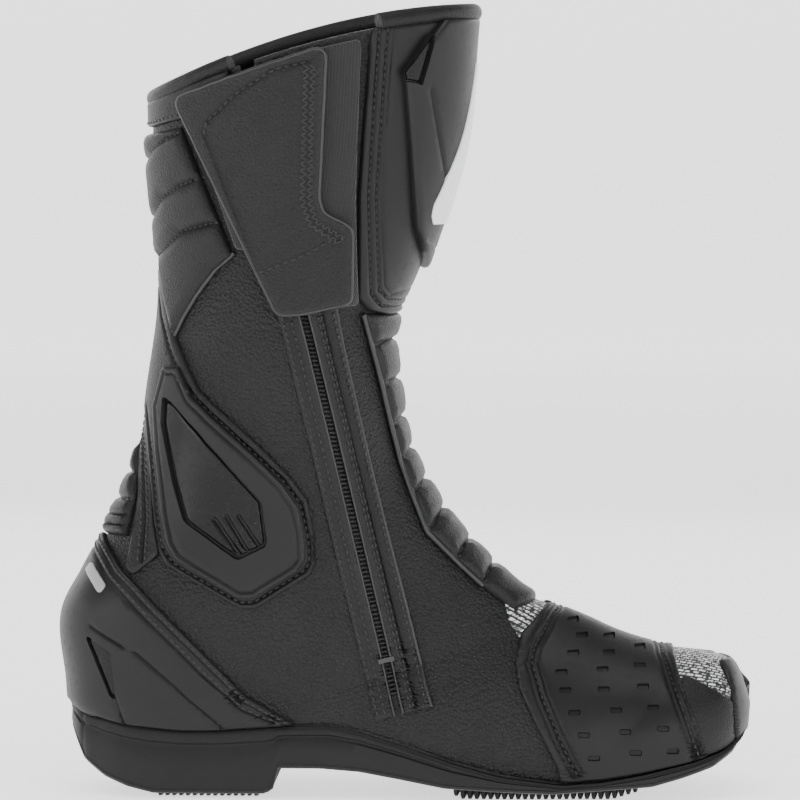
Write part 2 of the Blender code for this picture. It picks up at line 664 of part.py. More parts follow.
def zip_swing():
    """Where the zip's hanging end passes over the foot while the ankle bends."""
    margin = ZIP_TAPE_HALF_WIDTH + ZIP_SLOT_MARGIN
    low, high = ZIP_BOTTOM[1] - SWING_MARGIN, ANKLE_AXIS[1] + 30.0
    rest = zip_strip(-margin, margin, low, high)
    bent = [turned(p, ANKLE_RANGE) for p in rest]
    return [bent[0], rest[1], rest[2], bent[2], bent[3]]


def back_of(line):
    return list(line) + [(-FAR, line[-1][1]), (-FAR, line[0][1])]


def front_of(line):
    return list(line) + [(2 * FAR, line[-1][1]), (2 * FAR, line[0][1])]


def between(back_line, front_line):
    return list(back_line) + list(reversed(front_line))


def build_foot_upper(foot):
    region = foot_region()
    quarter_line = grade_outline(QUARTER_FRONT_LINE)
    long_line = [(quarter_line[0][0], FAR)] + quarter_line
    cap_line = grade_outline(TOE_CAP_LINE)
    cap_line.insert(0, (cap_line[0][0], FAR))
    channel = zip_swing()
    rear = [channel[0], channel[4], (-FAR, channel[4][1]), (-FAR, -50), (channel[0][0] - 3, -50)]
    front = [channel[1], channel[2], (channel[2][0], FAR)] + long_line[1:] + [(channel[1][0] + 3, -50)]
    leather = HEIGHTS["leather"]
    node("medial_quarter_rear", panel(leather, rear, "inner", region), foot, LEATHER_BLACK)
    node("medial_quarter_front", panel(leather, front, "inner", region), foot, LEATHER_BLACK)
    lateral = back_of(offset_line(long_line, -GAP))
    node("lateral_quarter", panel(leather, lateral, "outer", region), foot, LEATHER_BLACK)
    vamp = between(offset_line(long_line, GAP / 2), offset_line(cap_line, -GAP / 2))
    node("vamp_panel", panel(leather, vamp, "both", region), foot, TEXTILE_BLACK, 0.45)
    cap = front_of(offset_line(cap_line, GAP / 2))
    node("toe_cap", panel(leather, cap, "both", region), foot, LEATHER_BLACK)
    node("foot_lining", panel(HEIGHTS["lining"], everything(), "both", region), foot, LINING_GREY, 0.9)
    stiff = HEIGHTS["stiffener"]
    counter = grade_outline(STIFFENER_OUTLINE)
    node("heel_stiffener", panel(stiff, counter, "both", region), foot, BOARD_BROWN, 0.7)
    puff = front_of(grade_outline(TOE_PUFF_LINE))
    node("toe_puff", panel(stiff, puff, "both", region), foot, BOARD_BROWN, 0.7)
    overlay = HEIGHTS["overlay"]
    pad = between(grade_outline(SHIFT_PAD_BACK), grade_outline(SHIFT_PAD_FRONT))
    beside_slider = grade_outline(TOE_SLIDER_CLEARANCE)
    shift_pad = panel(overlay, pad, "both", region, [(beside_slider, "outer")])
    node("toe_shift_pad", shift_pad, foot, RUBBER_BLACK, 0.55)
    flex = grade_outline(FRONT_FLEX_LINE)
    instep = flex[INSTEP_FLEX_START:] + [graded(137.5, 92.0), graded(150.0, 120.0), graded(112.0, 150.0)]
    node("instep_flex_panel", panel(overlay, instep, "both", region), foot, LEATHER_BLACK, 0.5)


def build_heel_cup(foot):
    region = foot_region()
    inset = grade_outline(HEEL_INSET_OUTLINE)
    middle = (sum(x for x, z in inset) / 3, sum(z for x, z in inset) / 3)
    small = [(lerp(x, middle[0], INSET_SHRINK), lerp(z, middle[1], INSET_SHRINK)) for x, z in inset]
    cup_outline = grade_outline(HEEL_CUP_OUTLINE)
    cup = panel(HEIGHTS["overlay"], cup_outline, "both", region, [(inset, "both")])
    node("heel_cup", cup, foot, PLASTIC_BLACK, 0.4)
    inset_height = HEIGHTS["heel inset"]
    node("heel_inset_medial", panel(inset_height, small, "inner", rows=HEEL_ROWS), foot, RUBBER_BLACK, 0.5)
    node("heel_inset_lateral", panel(inset_height, small, "outer", rows=HEEL_ROWS), foot, RUBBER_BLACK, 0.5)
    badge = panel(HEIGHTS["on overlay"], grade_outline(HEEL_BADGE_OUTLINE), "inner", rows=HEEL_ROWS)
    node("heel_badge", badge, foot, REFLECTIVE, 0.35)


def surface_frame(point, side, first, last):
    """The leather's point at a pattern place, between two sections, and its outward direction."""
    x, z = graded(*point)
    steps = 300
    spots = [(lerp(first, last, i / steps), j / 40) for i in range(steps + 1) for j in range(1, 40)]

    def miss(spot):
        p = surface_point(*spot, side)
        return hypot(p.x - x, p.z - z)

    v, s = min(spots, key=miss)
    across = surface_point(v, s + 0.02, side) - surface_point(v, s - 0.02, side)
    along = surface_point(v + 0.05, s, side) - surface_point(v - 0.05, s, side)
    normal = along.cross(across).normalized()
    if normal.y * side < 0:
        normal.negate()
    return surface_point(v, s, side), normal


def cylinder(base, direction, radius, low, high, sides=16):
    """A round bar from low to high along direction."""
    turn = direction.to_track_quat("Z", "Y").to_matrix().to_4x4()
    bm = bmesh.new()
    place = Matrix.Translation(base + direction * (low + high) / 2) @ turn
    bmesh.ops.create_cone(
        bm, cap_ends=True, segments=sides, radius1=radius, radius2=radius, depth=high - low, matrix=place
    )
    return mesh_object(bm)


def build_toe_slider(foot):
    low, high = HEIGHTS["toe slider"]
    outline = rounded(grade_outline(TOE_SLIDER_OUTLINE), CORNER)
    slider = panel((low, high), outline, "outer", foot_region(), rows=TOE_ROWS)
    names = ("toe_slider_screw_rear", "toe_slider_screw_front")
    for name, point in zip(names, TOE_SLIDER_SCREWS):
        base, direction = surface_frame(point, 1.0, TOE_ROWS[0], TOE_ROWS[1] - 0.4)
        seat = high - SCREW_HEAD_DEPTH - GAP
        cut(slider, cylinder(base, direction, SCREW_HEAD_RADIUS + GAP, seat, high + 5.0))
        cut(slider, cylinder(base, direction, SCREW_SHANK_RADIUS + GAP, -5.0, high))
        screw = cylinder(base, direction, SCREW_HEAD_RADIUS, high - SCREW_HEAD_DEPTH, high - GAP)
        shank = cylinder(base, direction, SCREW_SHANK_RADIUS, low + GAP, high - SCREW_HEAD_DEPTH + GAP)
        node(name, boolean(screw, shank, "UNION"), foot, DARK_METAL, 0.4, 1.0)
    node("toe_slider", slider, foot, PLASTIC_BLACK, 0.35)


# ---------------------------------------------------------------- shaft

def build_shaft(shaft):
    region = shaft_region()
    collar_low = COLLAR_DEPTH + GAP
    under_collar = (collar_region(collar_low), "both")
    margin = ZIP_TAPE_HALF_WIDTH + ZIP_SLOT_MARGIN
    low, high = ANKLE_AXIS[1] - 30.0, ZIP_TOP[1] + 60.0
    slot = zip_strip(-margin, margin, low, high)
    behind = [slot[0], slot[3], (-FAR, slot[3][1]), (-FAR, slot[0][1])]
    ahead = [slot[1], slot[2], (2 * FAR, slot[2][1]), (2 * FAR, slot[1][1])]
    leather = HEIGHTS["leather"]
    sides = (
        ("medial_rear_panel", behind, "inner"),
        ("medial_front_panel", ahead, "inner"),
        ("lateral_shaft_panel", everything(), "outer"),
    )
    for name, outline, side in sides:
        node(name, panel(leather, outline, side, region, [under_collar]), shaft, LEATHER_BLACK)
    lining = panel(HEIGHTS["lining"], everything(), "both", region, [under_collar])
    node("shaft_lining", lining, shaft, LINING_GREY, 0.9)
    reach = margin + GUSSET_MARGIN
    gusset = zip_strip(-reach, reach, low, ZIP_TOP[1] - GUSSET_TOP_DROP)
    node("zip_gusset", panel(HEIGHTS["stiffener"], gusset, "inner", region), shaft, TEXTILE_BLACK, 0.8)
    rim = (HEIGHTS["lining"][0] - COLLAR_PADDING, 0.0)
    collar = panel(rim, collar_region(COLLAR_DEPTH), "both", rows=SHAFT_ROWS)
    node("collar", collar, shaft, LEATHER_BLACK, 0.5)


def build_zip(shaft):
    low, high = ZIP_BOTTOM[1], ZIP_TOP[1]
    tapes = (("back", -ZIP_TAPE_HALF_WIDTH, -GAP / 2), ("front", GAP / 2, ZIP_TAPE_HALF_WIDTH))
    for name, back, front in tapes:
        strip = zip_strip(back, front, low, high - 1.0)
        node("zip_stringer_" + name, panel(HEIGHTS["tape"], strip, "inner"), shaft, TEXTILE_BLACK, 0.7)
    for name, start in (("bottom", low + ZIP_STOP_INSET), ("top", high - ZIP_STOP_INSET)):
        strip = zip_strip(-ZIP_STOP_HALF_WIDTH, ZIP_STOP_HALF_WIDTH, start, start + ZIP_STOP_LENGTH)
        node("zip_" + name + "_stop", panel(HEIGHTS["zip stop"], strip, "inner"), shaft, DARK_METAL, 0.4, 1.0)
    region = shaft_region()
    placket_low = ANKLE_AXIS[1] - PLACKET_OVERLAP
    for name, (back, front) in (("back", PLACKET_BACK), ("front", PLACKET_FRONT)):
        strip = zip_strip(back, front, placket_low, high - PLACKET_TOP_DROP)
        node("zip_placket_" + name, panel(HEIGHTS["placket"], strip, "inner", region), shaft, LEATHER_BLACK)


def build_shin(shaft):
    base = panel(HEIGHTS["overlay"], grade_outline(SHIN_BASE_OUTLINE), "both", rows=SHAFT_ROWS)
    node("shin_base", base, shaft, RUBBER_BLACK, 0.55)
    plate = panel(HEIGHTS["shin plate"], grade_outline(SHIN_PLATE_OUTLINE), "both", rows=SHAFT_ROWS)
    node("shin_plate", plate, shaft, PLASTIC_BLACK, 0.3)
    rise = HEIGHTS["shin reflector"][0]
    outline = [(x + rise, z) for x, z in grade_outline([(x - rise, z) for x, z in REFLECTOR_OUTLINE])]
    reflector = panel(HEIGHTS["shin reflector"], outline, "both", rows=SHAFT_ROWS)
    node("shin_reflector", reflector, shaft, REFLECTIVE, 0.35)


def build_pads(shaft):
    region = shaft_region()
    overlay = HEIGHTS["overlay"]
    calf = panel(overlay, grade_outline(CALF_PAD_OUTLINE), "both", rows=SHAFT_ROWS)
    node("calf_pad", calf, shaft, LEATHER_BLACK, 0.5)
    rear = panel(overlay, grade_outline(REAR_FLEX_OUTLINE), "both", region)
    node("rear_flex_panel", rear, shaft, LEATHER_BLACK, 0.5)
    flex = grade_outline(FRONT_FLEX_LINE)
    front = flex + [graded(150.0, 79.6), graded(150.0, 208.5)]
    node("front_flex_panel", panel(overlay, front, "both", region), shaft, LEATHER_BLACK, 0.5)
    for side, name in (("inner", "medial"), ("outer", "lateral")):
        pad = panel(HEIGHTS["ankle pad"], grade_outline(ANKLE_PAD_OUTLINE), side, rows=ANKLE_ROWS)
        node("ankle_pad_" + name, pad, shaft, LEATHER_BLACK, 0.55)
        guard = panel(HEIGHTS["ankle guard"], grade_outline(ANKLE_GUARD_OUTLINE), side, rows=ANKLE_ROWS)
        node("ankle_guard_" + name, guard, shaft, PLASTIC_BLACK, 0.35)
    patch = panel(HEIGHTS["loop patch"], grade_outline(LOOP_PATCH_OUTLINE), "inner", rows=SHAFT_ROWS)
    node("flap_loop_patch", patch, shaft, TEXTILE_BLACK, 0.95)


# ---------------------------------------------------------------- flap

def build_flap(flap):
    leather = panel(HEIGHTS["flap"], rounded(grade_outline(FLAP_OUTLINE), CORNER), "inner", rows=SHAFT_ROWS)
    node("calf_flap", leather, flap, LEATHER_BLACK, 0.5)
    top, bottom = graded(*FLAP_AXIS_TOP), graded(*FLAP_AXIS_BOTTOM)
    edge = [(bottom[0] - FLAP_AXIS_GAP, bottom[1]), (top[0] - FLAP_AXIS_GAP, top[1])]
    elastic = edge + grade_outline(ELASTIC_BACK)
    web = panel(HEIGHTS["elastic"], elastic, "inner", rows=SHAFT_ROWS)
    node("flap_elastic", web, flap, TEXTILE_BLACK, 0.9)
    patch = panel(HEIGHTS["hook patch"], grade_outline(LOOP_PATCH_OUTLINE), "inner", rows=SHAFT_ROWS)
    node("flap_hook_patch", patch, flap, TEXTILE_BLACK, 0.95)


# ---------------------------------------------------------------- slider and puller

def zip_point(z):
    """A point of the zip's line on the leather, at a pattern height."""
    x, height = graded(zip_x(z), z)
    return Vector((x, -zip_half_width(z), height))


def zip_frame():
    """Directions of the zip's line: up along it, to the front across it, and outwards."""
    along = (zip_point(ZIP_TOP[1]) - zip_point(ZIP_BOTTOM[1])).normalized()
    outward = Vector((0.0, -1.0, 0.0))
    outward = (outward - along * outward.dot(along)).normalized()
    outward = Matrix.Rotation(radians(-ZIP_FACE_TURN), 3, along) @ outward
    across = along.cross(outward)
    return along, across, outward


def plate(centre, frame, outline, low, high):
    """A flat plate: outline corners are (across, along) and low, high are heights outwards."""
    along, across, outward = frame
    bm = bmesh.new()
    rings = []
    for height in (low, high):
        rings.append([bm.verts.new(centre + across * a + along * b + outward * height) for a, b in outline])
    bm.faces.new(rings[0])
    bm.faces.new(list(reversed(rings[1])))
    count = len(outline)
    for i in range(count):
        j = (i + 1) % count
        bm.faces.new((rings[0][j], rings[0][i], rings[1][i], rings[1][j]))
    bmesh.ops.recalc_face_normals(bm, faces=bm.faces)
    return mesh_object(bm)


def puller_pin():
    along, across, outward = zip_frame()
    return zip_point(SLIDER_REST) - along * (SLIDER_LENGTH / 2 + PULLER_PIN_DROP) + outward * SLIDER_LIFT


def build_slider(slider, puller):
    frame = zip_frame()
    w, h = SLIDER_WIDTH / 2, SLIDER_LENGTH / 2
    outline = rounded([(-w, -h), (w, -h), (w, h), (-w, h)], 2.0)
    centre = zip_point(SLIDER_REST)
    slab = plate(centre, frame, outline, SLIDER_LIFT, SLIDER_LIFT + SLIDER_THICKNESS)
    node("zip_slider", slab, slider, DARK_METAL, 0.4, 1.0)
    w, reach = PULLER_WIDTH / 2, PULLER_LENGTH
    outline = rounded([(-w, -reach), (w, -reach), (w, w), (-w, w)], w * 0.95)
    tag = plate(puller_pin(), frame, outline, GAP, GAP + PULLER_THICKNESS)
    node("zip_puller", tag, puller, DARK_METAL, 0.45, 1.0)


# ---------------------------------------------------------------- build

def clear_scene():
    for obj in list(bpy.data.objects):
        bpy.data.objects.remove(obj, do_unlink=True)


def main():
    clear_scene()
    ankle = graded(*ANKLE_AXIS)
    foot = body("foot_origin", (0.0, 0.0, 0.0))
    shaft = body("ankle_axis", (ankle[0], 0.0, ankle[1]))
    hinge_point, hinge_normal = surface_frame(FLAP_AXIS_BOTTOM, -1.0, 1.0, SHAFT_ROWS[1])
    flap = body("flap_axis", hinge_point + hinge_normal * FLAP_AXIS_HEIGHT)
    slider = body("slider_origin", zip_point(SLIDER_REST))
    puller = body("puller_axis", puller_pin())
    bpy.context.view_layer.update()
    build_sole(foot)
    build_foot_upper(foot)
    build_heel_cup(foot)
    build_toe_slider(foot)
    build_shaft(shaft)
    build_zip(shaft)
    build_shin(shaft)
    build_pads(shaft)
    build_flap(flap)
    build_slider(slider, puller)


main()
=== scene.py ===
import math

import bpy
import numpy as np
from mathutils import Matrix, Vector
from mathutils.bvhtree import BVHTree
from mathutils.geometry import delaunay_2d_cdt
from mathutils.kdtree import KDTree


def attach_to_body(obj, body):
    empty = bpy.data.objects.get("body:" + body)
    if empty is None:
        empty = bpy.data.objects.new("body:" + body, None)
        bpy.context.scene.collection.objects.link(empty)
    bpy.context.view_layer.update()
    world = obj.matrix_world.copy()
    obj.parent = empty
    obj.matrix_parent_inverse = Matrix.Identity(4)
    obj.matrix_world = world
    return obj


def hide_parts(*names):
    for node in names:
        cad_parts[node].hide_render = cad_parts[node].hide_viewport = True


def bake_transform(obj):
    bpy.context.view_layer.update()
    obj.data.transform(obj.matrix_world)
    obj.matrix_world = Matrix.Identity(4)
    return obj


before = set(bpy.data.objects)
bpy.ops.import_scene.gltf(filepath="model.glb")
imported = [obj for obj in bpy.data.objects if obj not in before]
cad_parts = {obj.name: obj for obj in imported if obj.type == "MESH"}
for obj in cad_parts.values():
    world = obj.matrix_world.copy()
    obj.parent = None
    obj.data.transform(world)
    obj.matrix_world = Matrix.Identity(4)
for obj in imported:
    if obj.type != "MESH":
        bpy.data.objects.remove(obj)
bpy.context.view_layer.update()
print("frame loaded:", len(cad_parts), "nodes")

# Lengths are millimetres until a mesh is made.
mm = 0.001

# The form that every panel is laid on: the same sections as the solids.
# Each row: back x, z, front x, z, fullness of the back and of the front.
form = {
    "sections": (
        (-25.0, 303.5, 112.0, 340.5, 3.5, 2.6),
        (-24.0, 275.0, 106.5, 286.0, 3.3, 2.8),
        (-20.5, 240.0, 92.0, 238.0, 3.0, 3.0),
        (-20.5, 212.0, 79.5, 205.0, 3.0, 3.2),
        (-25.0, 180.0, 81.0, 178.0, 3.0, 3.8),
        (-30.0, 148.0, 86.0, 151.0, 3.2, 4.4),
        (-41.0, 121.0, 98.5, 127.0, 3.6, 4.4),
        (-54.0, 97.0, 111.5, 110.0, 5.5, 4.4),
        (-63.5, 77.0, 123.0, 98.5, 8.0, 4.4),
        (-61.5, 52.0, 133.0, 89.0, 9.5, 4.4),
        (-58.0, 34.0, 140.5, 84.0, 10.0, 4.4),
        (-40.0, 28.5, 147.5, 81.2, 10.0, 4.3),
        (-13.0, 25.5, 155.0, 78.3, 10.0, 4.0),
        (25.0, 27.0, 166.0, 73.8, 10.0, 3.4),
        (60.0, 26.5, 178.0, 68.3, 10.0, 3.0),
        (95.0, 16.0, 190.0, 64.2, 10.0, 2.8),
        (130.0, 6.8, 201.0, 61.8, 10.0, 2.8),
        (160.0, 3.8, 211.0, 61.0, 10.0, 2.8),
        (190.0, 8.0, 221.0, 59.6, 10.0, 2.8),
        (216.0, 14.5, 230.0, 55.0, 10.0, 2.8),
        (235.0, 27.0, 236.0, 39.0, 10.0, 2.8),
    ),
    "zipTop": (21.1, 299.0),
    "zipBottom": (78.75, 56.0),
    "shaftHalfWidth": 52.5,
    "instepHalfWidth": 37.25,
    "ballHalfWidth": 49.0,
    "footShares": (0.85, 0.915, 0.975, 1.0, 0.965),
    "edgeShares": (1.0, 0.96, 0.92, 0.87, 0.85, 0.89, 0.93, 0.93, 0.92, 0.9, 0.88),
    "collarArch": 7.0,
    "toeInset": 6.0,
    "heelSection": 10,
    "lastZipSection": 12,
    "toeSection": 17,
    "lastSection": 20,
    "tilt": 0.07,  # patterns rise with the width
    "drop": 1.6,
    "girth": 160.0,
}
rows = np.array(form["sections"])


def spline(values, t):
    values, t = np.asarray(values, float), np.asarray(t, float)
    i = np.clip(t.astype(int), 0, len(values) - 2)
    u = t - i
    p1, p2 = values[i], values[i + 1]
    p0 = np.where(i > 0, values[np.maximum(i - 1, 0)], 2 * p1 - p2)
    p3 = np.where(i + 2 < len(values), values[np.minimum(i + 2, len(values) - 1)], 2 * p2 - p1)
    return p1 + 0.5 * u * (p2 - p0 + u * (2 * p0 - 5 * p1 + 4 * p2 - p3 + u * (3 * (p1 - p2) + p3 - p0)))


def section(v):
    return [spline(rows[:, k], v) for k in range(6)]


def profile(s, v):
    backX, _, frontX, _, backFull, frontFull = section(v)
    heelX = np.where(v <= form["heelSection"], backX, rows[form["heelSection"], 0])
    fromHeel = (backX + (frontX - backX) * s - heelX) / (frontX - heelX)
    edge = spline(form["edgeShares"], np.maximum(0.0, v - form["heelSection"]))
    back = np.sqrt(np.clip(1.0 - np.clip(1.0 - fromHeel, 0, 1) ** backFull, 0, 1))
    front = np.sqrt(np.clip(1.0 - s ** frontFull, 0, 1))
    return front * back * (1.0 - (1.0 - edge) * (1.0 - s) ** 3)


def zipSectionWidth(v):
    backX, backZ, frontX, frontZ = section(v)[:4]
    topX, topZ = form["zipTop"]
    lowX, lowZ = form["zipBottom"]
    slope = (topX - lowX) / (topZ - lowZ)
    dx, dz = frontX - backX, frontZ - backZ
    s = (lowX + slope * (backZ - lowZ) - backX) / (dx - slope * dz)
    t = (backZ + dz * s - lowZ) / (topZ - lowZ)
    wide = form["instepHalfWidth"] + (form["shaftHalfWidth"] - form["instepHalfWidth"]) * t
    return wide / profile(s, v)


def zipPath(v):
    # The zip's straight line, as places on the form.
    backX, backZ, frontX, frontZ = section(v)[:4]
    (topX, topZ), (lowX, lowZ) = form["zipTop"], form["zipBottom"]
    slope = (topX - lowX) / (topZ - lowZ)
    s = (lowX + slope * (backZ - lowZ) - backX) / (frontX - backX - slope * (frontZ - backZ))
    return np.stack([np.arccos(1 - 2 * s) / math.pi, v], -1)


footWidths = [float(zipSectionWidth(np.array(float(form["lastZipSection"]))))]
footWidths += [share * form["ballHalfWidth"] for share in form["footShares"]]


def halfWidth(v):
    last, toe = form["lastZipSection"], form["toeSection"]
    leg = zipSectionWidth(np.minimum(v, last))
    t = np.clip((v - toe) / (form["lastSection"] - toe), 0, 1)
    foot = spline(footWidths, np.clip(v, last, toe) - last) * np.sqrt(1.0 - t ** 2.2)
    return np.where(v <= last, leg, foot)


def skin(a, v):
    # a goes round the leg: 0 back, 1 front by the inner side, 2 the back again by the outer side
    a, v = np.broadcast_arrays(np.asarray(a, float) % 2.0, np.asarray(v, float))
    t = np.where(a <= 1, a, 2 - a)
    s = (1 - np.cos(math.pi * t)) / 2
    backX, backZ, frontX, frontZ = section(v)[:4]
    arch = form["collarArch"] * np.clip(1 - v, 0, None) * 4 * s * (1 - s)
    shift = np.clip((v - form["lastZipSection"]) / (form["lastSection"] - form["lastZipSection"]), 0, 1)
    y = np.where(a <= 1, -1.0, 1.0) * halfWidth(v) * profile(s, v) - form["toeInset"] * shift ** 2
    return np.stack([backX + (frontX - backX) * s, y, backZ + (frontZ - backZ) * s + arch], -1)


def slopes(a, v):
    e, f = 0.003, np.minimum(0.01, (20.0 - v) * 0.5 + 1e-7)
    low = np.maximum(v - f, 0)
    along = (skin(a, v + f) - skin(a, low)) / (v + f - low)[..., None]
    return (skin(a + e, v) - skin(a - e, v)) / (2 * e), along


def unit(vectors):
    return vectors / np.maximum(np.linalg.norm(vectors, axis=-1, keepdims=True), 1e-9)


def normalAt(a, v):
    around, along = slopes(np.asarray(a, float), np.asarray(v, float))
    return unit(np.cross(along, around))


# Flat coordinates, close to millimetres on the form, for cutting panels.
gridV = np.concatenate([np.linspace(0, 19, 381)[:-1], 20 - np.linspace(1, 0.003, 80) ** 2])
spans = np.mean([np.linalg.norm(np.diff(skin(t, gridV), axis=0), axis=1) for t in (0.25, 0.5, 0.75)], axis=0)
lengthAt = np.concatenate([[0], np.cumsum(spans)])


def flat(line):
    return np.stack([line[:, 0] * form["girth"], np.interp(line[:, 1], gridV, lengthAt)], -1)


def unflat(points):
    return np.stack([points[:, 0] / form["girth"], np.interp(points[:, 1], lengthAt, gridV)], -1)


scanV = np.linspace(0, 19.999, 1600)
scanRows = section(scanV)


# Pattern places (x, z) as places on the form; what lies outside the outline falls on its edge.
def locate(points, lift=0.0):
    points = np.asarray(points, float)
    backX, backZ, frontX, frontZ = scanRows[:4]
    dx, dz = frontX - backX, frontZ - backZ
    length = dx ** 2 + dz ** 2
    wanted = points.copy()
    for _ in range(4):
        px, pz = wanted[:, :1] - backX, wanted[:, 1:] - backZ
        s = (px * dx + pz * dz) / length
        off = np.abs(dx * pz - dz * px) / np.sqrt(length)
        over = np.maximum(np.maximum(-s, s - 1), 0) * np.sqrt(length)
        best = np.argmin(off + over * 1.5, axis=1)
        pick = np.arange(len(points))
        t = np.arccos(np.clip(1 - 2 * s[pick, best], -1, 1)) / math.pi
        v = scanV[best]
        at = skin(t, v)
        share = (1 - np.cos(math.pi * t)) / 2
        arch = form["collarArch"] * np.clip(1 - v, 0, None) * 4 * share * (1 - share)
        out = normalAt(np.clip(t, 0.01, 0.99), v) * lift
        wanted[:, 0] = points[:, 0] - out[:, 0]
        wanted[:, 1] = points[:, 1] + form["tilt"] * np.abs(
            at[:, 1] + out[:, 1]
        ) - form["drop"] * np.sin(math.pi * t) - arch - out[:, 2]
    return np.stack([t, v], -1)


def subdivided(points, longest=4.0):
    result = []
    for p, q in zip(points, points[1:]):
        p, q = np.array(p, float), np.array(q, float)
        result += list(np.linspace(p, q, max(2, int(np.linalg.norm(q - p) / longest) + 2))[:-1])
    return np.array(result + [points[-1]])


def rounded(points, radius):
    result, count = [], len(points)
    for i in range(count):
        before, here, after = (np.array(points[(i + k) % count], float) for k in (-1, 0, 1))
        a, b = before - here, after - here
        la, lb = np.linalg.norm(a), np.linalg.norm(b)
        angle = math.acos(np.clip(a @ b / (la * lb), -1, 1))
        reach = min(radius / math.tan(angle / 2), la * 0.45, lb * 0.45)
        if angle > 2.9:
            result.append(here)
            continue
        start, end = here + a / la * reach, here + b / lb * reach
        for t in np.linspace(0, 1, 7):
            result.append(start * (1 - t) ** 2 + here * 2 * t * (1 - t) + end * t * t)
    return result


def onInner(points, lift=0.0):
    return locate(subdivided(points), lift)


def ringInner(points, radius=0.0, lift=0.0):
    points = rounded(points, radius) if radius else list(points)
    return locate(subdivided(list(points) + [points[0]])[:-1], lift)


def mirrored(line):
    return np.stack([2 - line[:, 0], line[:, 1]], -1)


def behind(line):
    return np.stack([-line[:, 0], line[:, 1]], -1)


# A closed outline that crosses the front, from its inner half drawn as an open line.
def overFront(points, lift=0.0):
    line = locate(subdivided(points), lift)
    return np.vstack([line, mirrored(line)[::-1]])


def overBack(points, lift=0.0):
    line = locate(subdivided(points), lift)
    return np.vstack([line, behind(line)[::-1]])


# An open line carried over the front or the back to the outer side.
def across(points, over="front"):
    line = locate(subdivided(points))
    if over == "front":
        return np.vstack([line, mirrored(line)[::-1][1:]])
    return np.vstack([line, behind(line)[::-1][1:]])


def walk(line, step, closed=False):
    line = np.asarray(line, float)
    if closed:
        line = np.vstack([line, line[:1]])
    keep = np.concatenate([[True], np.abs(np.diff(line, axis=0)).sum(1) > 1e-7])
    line = line[keep]
    dense = np.concatenate(
        [np.linspace(p, q, 8, endpoint=False)
        for p, q in zip(line, line[1:])] + [line[-1:]]
    )
    at = skin(dense[:, 0], dense[:, 1])
    run = np.concatenate([[0], np.cumsum(np.linalg.norm(np.diff(at, axis=0), axis=1))])
    wanted = np.linspace(0, run[-1], max(4, round(run[-1] / step)) + 1)
    result = np.stack([np.interp(wanted, run, dense[:, k]) for k in (0, 1)], -1)
    return result[:-1] if closed else result


# The line moved sideways on the form; down the inner side, a positive distance is to the back.
def slide(line, distance, closed=False):
    a, v = line[:, 0], line[:, 1]
    at, around_along = skin(a, v), slopes(a, v)
    ahead = np.roll(at, -1, 0) - np.roll(at, 1, 0) if closed else np.gradient(at, axis=0)
    move = unit(np.cross(ahead, normalAt(a, v))) * distance
    da, dv = around_along
    aa, ab, bb = (da * da).sum(-1), (da * dv).sum(-1), (dv * dv).sum(-1)
    ra, rb = (da * move).sum(-1), (dv * move).sum(-1)
    det = np.maximum(aa * bb - ab * ab, 1e-9)
    moved = line + np.stack([(bb * ra - ab * rb) / det, (aa * rb - ab * ra) / det], -1)
    moved[:, 1] = np.clip(moved[:, 1], 0, 19.99999)
    return moved


def gapTo(points, line, closed=False):
    tree = KDTree(len(line))
    for i, p in enumerate(line):
        tree.insert(p, i)
    tree.balance()
    index = np.array([tree.find(p)[1] for p in points], int)
    best = np.full(len(points), 1e9)
    for shift in (-1, 0):
        i = index + shift
        i = i % len(line) if closed else np.clip(i, 0, len(line) - 2)
        a, b = line[i], line[(i + 1) % len(line)]
        ab = b - a
        t = np.clip(((points - a) * ab).sum(1) / np.maximum((ab * ab).sum(1), 1e-9), 0, 1)
        best = np.minimum(best, np.linalg.norm(points - a - ab * t[:, None], axis=1))
    return best


def farFrom(line, others, clear):
    at, taken = skin(line[:, 0], line[:, 1]), skin(others[:, 0], others[:, 1])
    tree = KDTree(len(taken))
    for i, p in enumerate(taken):
        tree.insert(p, i)
    tree.balance()
    return np.array([tree.find(p)[2] > clear for p in at], bool)


def inside(points, ring):
    x, y = points[:, 0], points[:, 1]
    result = np.zeros(len(points), bool)
    for (x0, y0), (x1, y1) in zip(ring, np.roll(ring, -1, 0)):
        if y0 != y1:
            result ^= ((y0 > y) != (y1 > y)) & (x < x0 + (y - y0) * (x1 - x0) / (y1 - y0))
    return result


def crown(distance, radius):
    return np.sqrt(1 - (1 - np.clip(distance / radius, 0, 1)) ** 2)


def turnOf(ring):
    p = flat(ring)
    q = np.roll(p, -1, 0)
    return 1.0 if (p[:, 0] * q[:, 1] - q[:, 0] * p[:, 1]).sum() > 0 else -1.0


def inset(ring, distance):
    return slide(ring, turnOf(ring) * distance, True)


# Finishes.

class Wire:
    def __init__(self, finish, socket):
        self.finish, self.socket = finish, socket

    def join(self, kind, other, swap=False):
        pair = {0: other, 1: self} if swap else {0: self, 1: other}
        return self.finish.add("ShaderNodeMath", {"operation": kind}, pair)

    def __add__(self, other):
        return self.join("ADD", other)

    def __sub__(self, other):
        return self.join("SUBTRACT", other)

    def __mul__(self, other):
        return self.join("MULTIPLY", other)

    def __pow__(self, other):
        return self.join("POWER", other)

    def __gt__(self, other):
        return self.join("GREATER_THAN", other)

    def __rsub__(self, other):
        return self.join("SUBTRACT", other, True)

    __radd__, __rmul__ = __add__, __mul__


